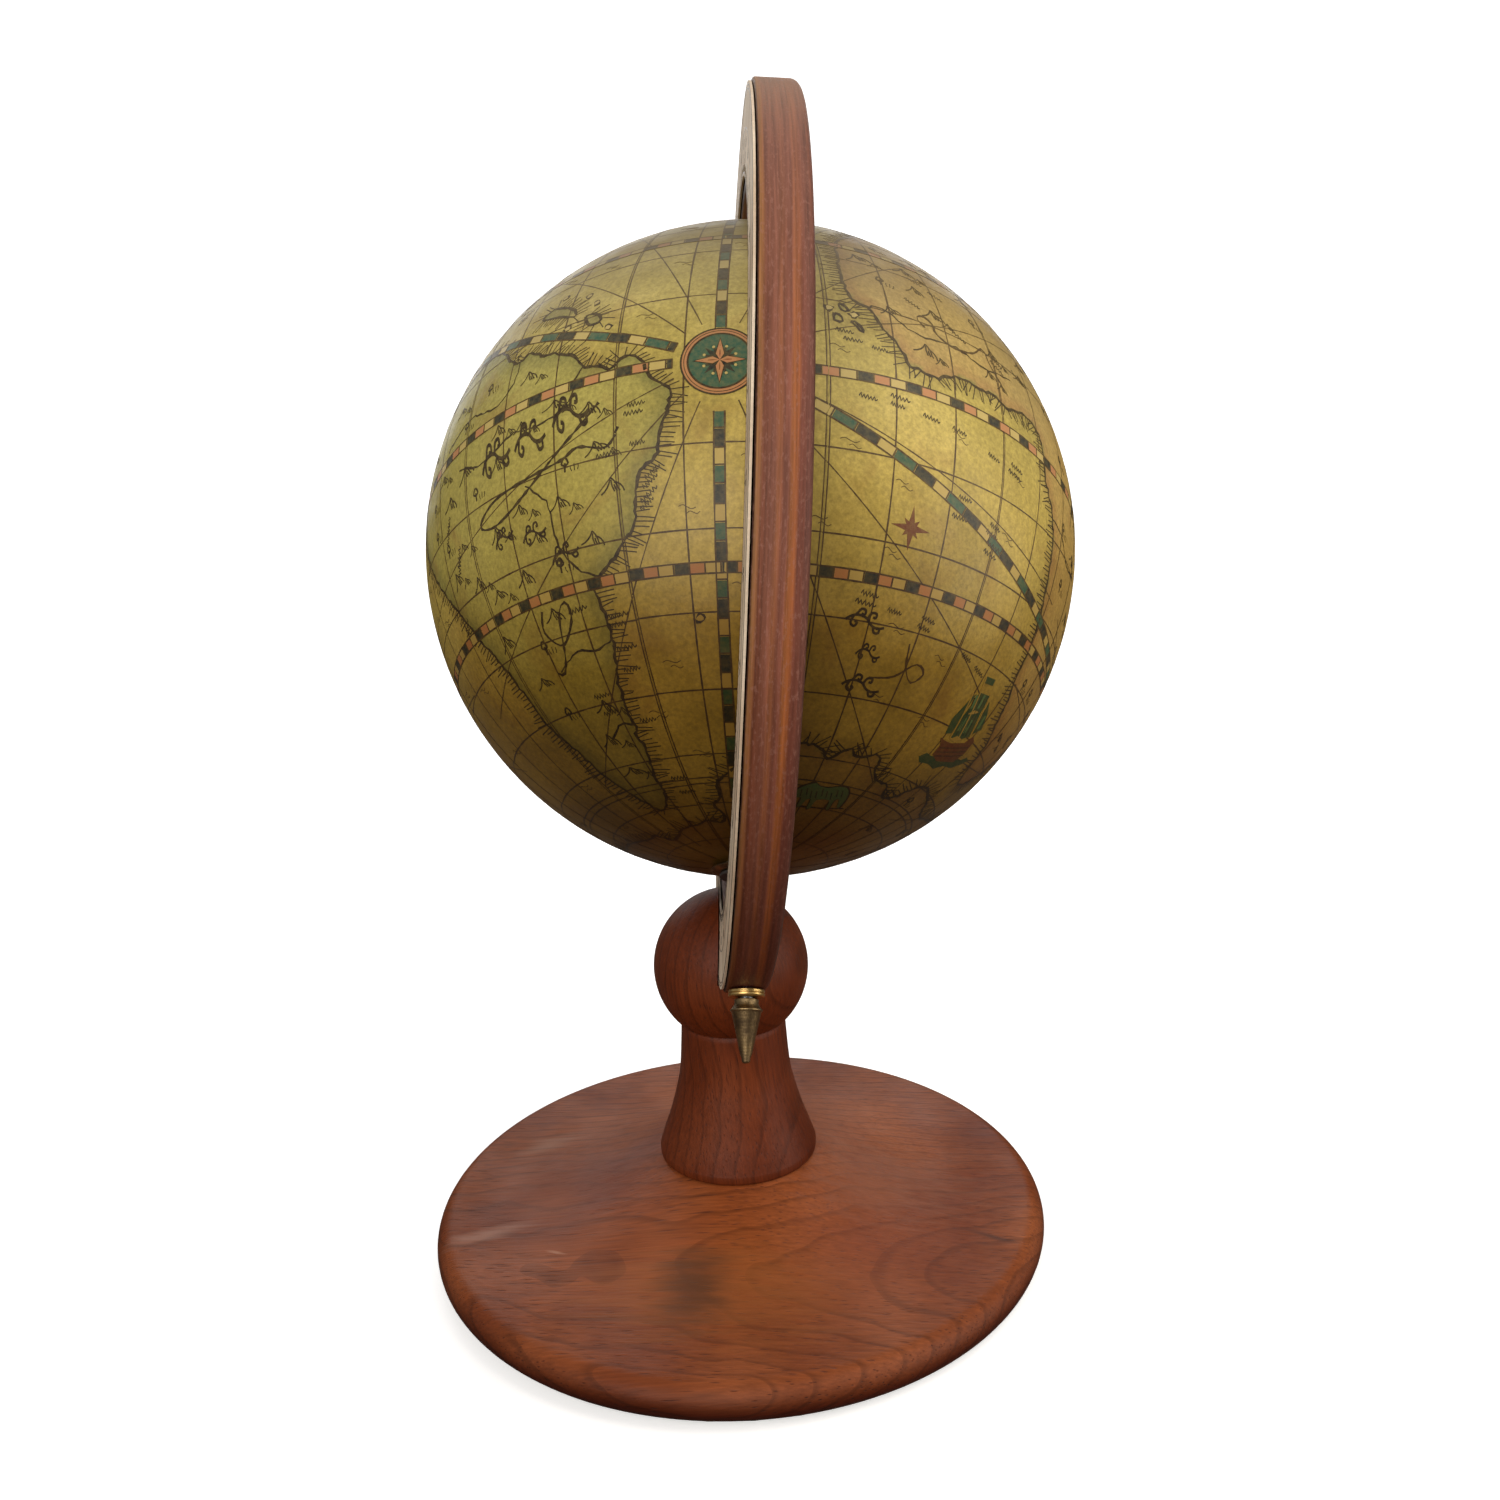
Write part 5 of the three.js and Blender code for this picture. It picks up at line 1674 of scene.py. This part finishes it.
HILL = stroke_mark([
    bow(-2.5, -1.1, -0.2, 1.6, -0.45), bow(-0.2, 1.6, 1.1, 0.1, 0.15), bow(0.5, 0.7, 2.6, -1.1, 0.45),
    bow(-0.1, 1.2, 0.5, -0.9, -0.15, 3), bow(0.5, 0.3, 1.1, -0.9, -0.1, 3), bow(1.1, 0.1, 1.7, -0.9, -0.1, 3),
], 0.32)
TREE = stroke_mark([
    bow(0, -0.9, 0, 0.2, 0, 2), bow(-0.5, 0.1, 0.5, 0.1, 0.75, 6), bow(-0.5, 0.1, 0.5, 0.1, -0.2, 4),
], 0.26)
TUFT = stroke_mark([
    bow(-0.5, -0.4, -0.7, 0.5, 0.1, 3), bow(0, -0.4, 0, 0.7, 0, 2), bow(0.5, -0.4, 0.7, 0.5, -0.1, 3),
], 0.16)
WAVE = stroke_mark([smooth([(-1.6, 0), (-0.8, 0.35), (0, 0), (0.8, -0.3), (1.6, 0.05)], 3)], 0.16)
SCRIBBLE = stroke_mark([smooth([
    (-2.2, -0.1), (-1.8, 0.5), (-1.5, -0.3), (-1.1, 0.35), (-0.7, -0.3), (-0.2, 0.5), (0.1, -0.3), (0.6, 0.3),
    (0.9, -0.3), (1.4, 0.4), (1.7, -0.2), (2.2, 0.1),
], 2)], 0.24)
VINE = stroke_mark([
    bow(-4.4, -0.6, 0.2, 0.5, 0.9, 8), bow(0.2, 0.5, 4.4, -0.5, -0.9, 8),
    smooth([(-2.4, 0.9), (-1.6, 2.2), (-0.6, 2.0), (-0.7, 1.1), (-1.4, 1.3)], 3),
    smooth([(1.8, -0.6), (2.4, -1.9), (3.4, -1.8), (3.3, -0.9), (2.6, -1.1)], 3),
    smooth([(0.2, 0.5), (0.8, 1.8), (1.9, 1.9), (1.9, 1.0), (1.3, 1.1)], 3),
    smooth([(-2.9, 0.5), (-3.2, -1.0), (-2.3, -1.6), (-1.8, -0.8), (-2.4, -0.5)], 3),
], 0.55)
SHORE_LEAST = 12  # an island with less coast than this has no shore strokes
SHORE_STEP = 0.95
SHORE = stroke_mark([bow(0, 0, 1, 0, 0.03, 3)], 0.27)


def shore_strokes():
    """Short strokes out to sea all along the coasts, nearer level than square to the shore."""
    places = []
    for shore, closed in coast_paths:
        gaps = np.linalg.norm(np.diff(shore, axis=0), axis=1) * GLOBE_R
        reach = np.concatenate([[0], np.cumsum(gaps)])
        if reach[-1] < SHORE_LEAST:
            continue
        at = np.arange(0.4, reach[-1], SHORE_STEP)
        d = unit(np.stack([np.interp(at, reach, shore[:, k]) for k in range(3)], 1))
        ahead = unit(np.stack([np.interp(at + 1.5, reach, shore[:, k]) for k in range(3)], 1))
        lon, lat = lon_lat(d)
        _, east, _ = compass(lon, lat)
        north = np.cross(d, east)
        course = ahead - d
        run_x, run_y = (course * east).sum(1), (course * north).sum(1)
        # One side of the shore is sea. Try 1.5 mm to the right of the course.
        right = unit(d + (run_y[:, None] * east - run_x[:, None] * north)
                     / np.hypot(run_x, run_y)[:, None] * 1.5 / GLOBE_R)
        sea_right = np.where(land_at(*lon_lat(right))[0] < 0, 1, -1)
        out_x, out_y = run_y * sea_right, -run_x * sea_right * 0.45
        for k in range(len(at)):
            if math.hypot(run_x[k], run_y[k]) < 1e-6:
                continue
            turn = math.degrees(math.atan2(out_y[k], out_x[k])) + draw.uniform(-6, 6)
            length = draw.uniform(2.0, 4.2)
            places.append((lon[k], lat[k], turn, length, 0.9))
    return places


def scatter(count, spacing_mm, wanted, seed):
    """Evenly scattered places on the globe where wanted(mm inland, lon, lat) is true."""
    pick = random.Random(seed)
    lon = np.array([pick.uniform(-180, 180) for _ in range(count)])
    lat = np.degrees(np.arcsin([pick.uniform(-0.96, 0.96) for _ in range(count)]))
    inland, _ = land_at(lon, lat)
    kept = []
    for k, d in enumerate(direction(lon, lat)):
        if clear_of_bands(lon[k], lat[k]) and wanted(inland[k], lon[k], lat[k]):
            if all(np.linalg.norm(d - other) * GLOBE_R > spacing_mm for other, _, _ in kept):
                kept.append((d, lon[k], lat[k]))
    return [(a, b) for _, a, b in kept]


def clear_of_bands(lon, lat):
    """True at some degrees' distance from the banded circles, the rose and the figures."""
    on_ecliptic = abs(lat - ecliptic_lat(lon)) < 2.4
    near_pole_band = abs(lon) * math.cos(math.radians(lat)) < 2.4
    near_rose = math.hypot(lon, lat) < 8
    figures = ((60.5, -45), (-132, -29), (122, -15), (31, -64), (146, -64), (176, -6))
    near_figure = any(
        math.hypot((lon - a) * math.cos(math.radians(lat)), lat - b) < 9 for a, b in figures
    )
    return not (abs(lat) < 2.3 or abs(abs(lat) - TROPIC) < 2.2 or on_ecliptic or near_pole_band or near_rose
                or near_figure)


def draw_small_marks():
    """Shore strokes, hills, trees and tufts on the land, and waves at sea."""
    stamp(coast, SHORE, shore_strokes(), 0.022)
    hills = scatter(3200, 7.0, lambda inland, lon, lat: inland > 4.2, 3)
    ranges = [(a, b) for a, b in hills if draw.random() < 0.62]
    woods = [place for place in hills if place not in ranges]
    stamp(coast, HILL, [
        (a, b, draw.uniform(-12, 12), draw.uniform(0.75, 1.3), draw.uniform(0.8, 1.2)) for a, b in ranges
    ], 0.03)
    stamp(coast, HILL, [
        (a + 2.6 / math.cos(math.radians(b)), b - 1.2, draw.uniform(-12, 12), 0.66, 0.7)
        for a, b in ranges if draw.random() < 0.6
    ], 0.03)
    stamp(coast, TREE, [(a, b, draw.uniform(-8, 8), 1.7, 1.7) for a, b in woods], 0.03)
    stamp(coast, TUFT, [(a + 1.6, b - 0.8, draw.uniform(-10, 10), 1.3, 1.3) for a, b in woods], 0.03)
    waves = scatter(1500, 11.5, lambda inland, lon, lat: inland < -6, 4)
    stamp(brown, WAVE, [(a, b, draw.uniform(-8, 8), draw.uniform(0.8, 1.25), 1.0) for a, b in waves], 0.03)
    stamp(brown, WAVE, [(a + 0.9, b - 0.8, draw.uniform(-8, 8), 0.8, 1.0) for a, b in waves], 0.03)


def draw_flourishes():
    """Pen scrolls, vines and scribbled waves that fill the open parts of the map."""
    vines = [
        (-37, -6.5, 14, 1.05, 1.9), (-29.6, -6.2, 6, 0.95, 1.8), (-22.2, -4.6, 10, 1.0, 1.9),
        (-37, -19, 20, 0.7, 0.9), (-30.5, -20.2, 12, 0.75, 0.9), (-25.5, -24.4, 16, 0.8, 0.9),
        (24.5, -35.2, -4, 0.95, 0.95), (26.5, -39.6, 2, 0.6, 0.8), (27.2, -44.4, -2, 0.95, 0.95),
        (62, 19, -30, 1.3, 1.4), (78, 12, -20, 1.2, 1.3), (120, 42, 0, 1.6, 1.6), (-96, 44, 0, 1.6, 1.6),
        (-110, -2, 0, 1.4, 1.4), (-100, -40, 0, 1.4, 1.4), (120, -45, 0, 1.3, 1.3), (-165, 40, 0, 1.4, 1.4),
    ]
    stamp(coast, VINE, vines, 0.034)
    notes = [
        (19, 5.6, 0), (23, 4.9, 0), (17.8, 7.0, -4), (21, -3.6, -6), (25.5, -3.9, -4), (31, -4.4, -6),
        (36, -4.8, -6), (43, -6.4, -8), (48, -7.2, -8), (24, -32.2, -4), (29.5, -32.6, -4), (36, -33.8, -8),
        (48, -35.6, -12), (53, -36.6, -14), (38, -14.5, 0), (37.5, -17.4, 0), (44.5, -17.8, -8),
        (45, -20.6, -8), (-9.8, -16.4, 40), (-10.5, -19.4, 40), (-16.4, -11.6, 6), (-12, -6.2, 4),
        (-11.5, -10.8, 4), (-18.6, -35, 4), (-18, -38.4, 4), (-18.2, -41.6, 4), (-18.6, -49.6, 0),
        (-17, -60.4, 0), (-16.6, -63.4, 0), (-25.4, -31.8, 6), (-27, -44.6, 4), (-26.6, -47.4, 4),
        (32.5, 24.2, -20), (36, 22, -20), (38, 13.4, -30), (46, 11.2, -26), (52, 13, -30), (30, 17, -30),
        (-52, -12, 60), (-50, -18, 60), (-54, -27, 60), (-48, 24, 20), (-38, 22, 20), (-40, 27, 20),
    ]
    for row in (-0.7, 0.7):
        stamp(coast, SCRIBBLE, [
            (lon + 0.3 * row, lat + row * 0.9, turn, draw.uniform(0.7, 1.1), 1.35)
            for lon, lat, turn in notes if row < 0 or draw.random() < 0.4
        ], 0.034)
    for target, width, scroll in (
        (coast, 0.6, [(-14.5, -8.5), (-16.5, -11), (-21, -10), (-24, -11.2), (-30, -12), (-38, -13),
                      (-42, -15.5), (-38, -16.6), (-31, -14), (-22, -8), (-17.5, -4)]),
        (coast, 0.5, [(-33, -31), (-34, -34), (-31, -36.5), (-27.5, -33.5), (-27.5, -30.8), (-29.5, -32),
                      (-31.5, -38), (-33.5, -40.5), (-35, -40)]),
        (brown, 0.5, [(31, 11.5), (29.8, 13), (31, 14), (32.6, 13), (33, 11), (36, 9.6), (40, 10.5), (43, 13),
                      (44, 10), (46.5, 6.5)]),
        (brown, 0.42, [(28, -43), (33, -42.2), (37, -39.6), (39.5, -40.6), (37.5, -42.4), (35, -40.4),
                       (34, -37)]),
    ):
        line(target, path(scroll, step=0.8), width, 0.03, ragged=0.5)
    for lon, lat, size in ((29, -21.5, 4.4), (-150, 4, 4.6), (140, -48, 4.2)):
        for k in range(8):
            reach = size if k % 2 == 0 else size * 0.55
            patch(red, lon, lat, 45 * k, kite(0.62, reach * 0.3, reach), 0.03 + 0.002 * k)


draw_small_marks()
draw_flourishes()
for printed_ink in (brown, coast, black, green, teal, pink, cream, red):
    printed_ink.finish()
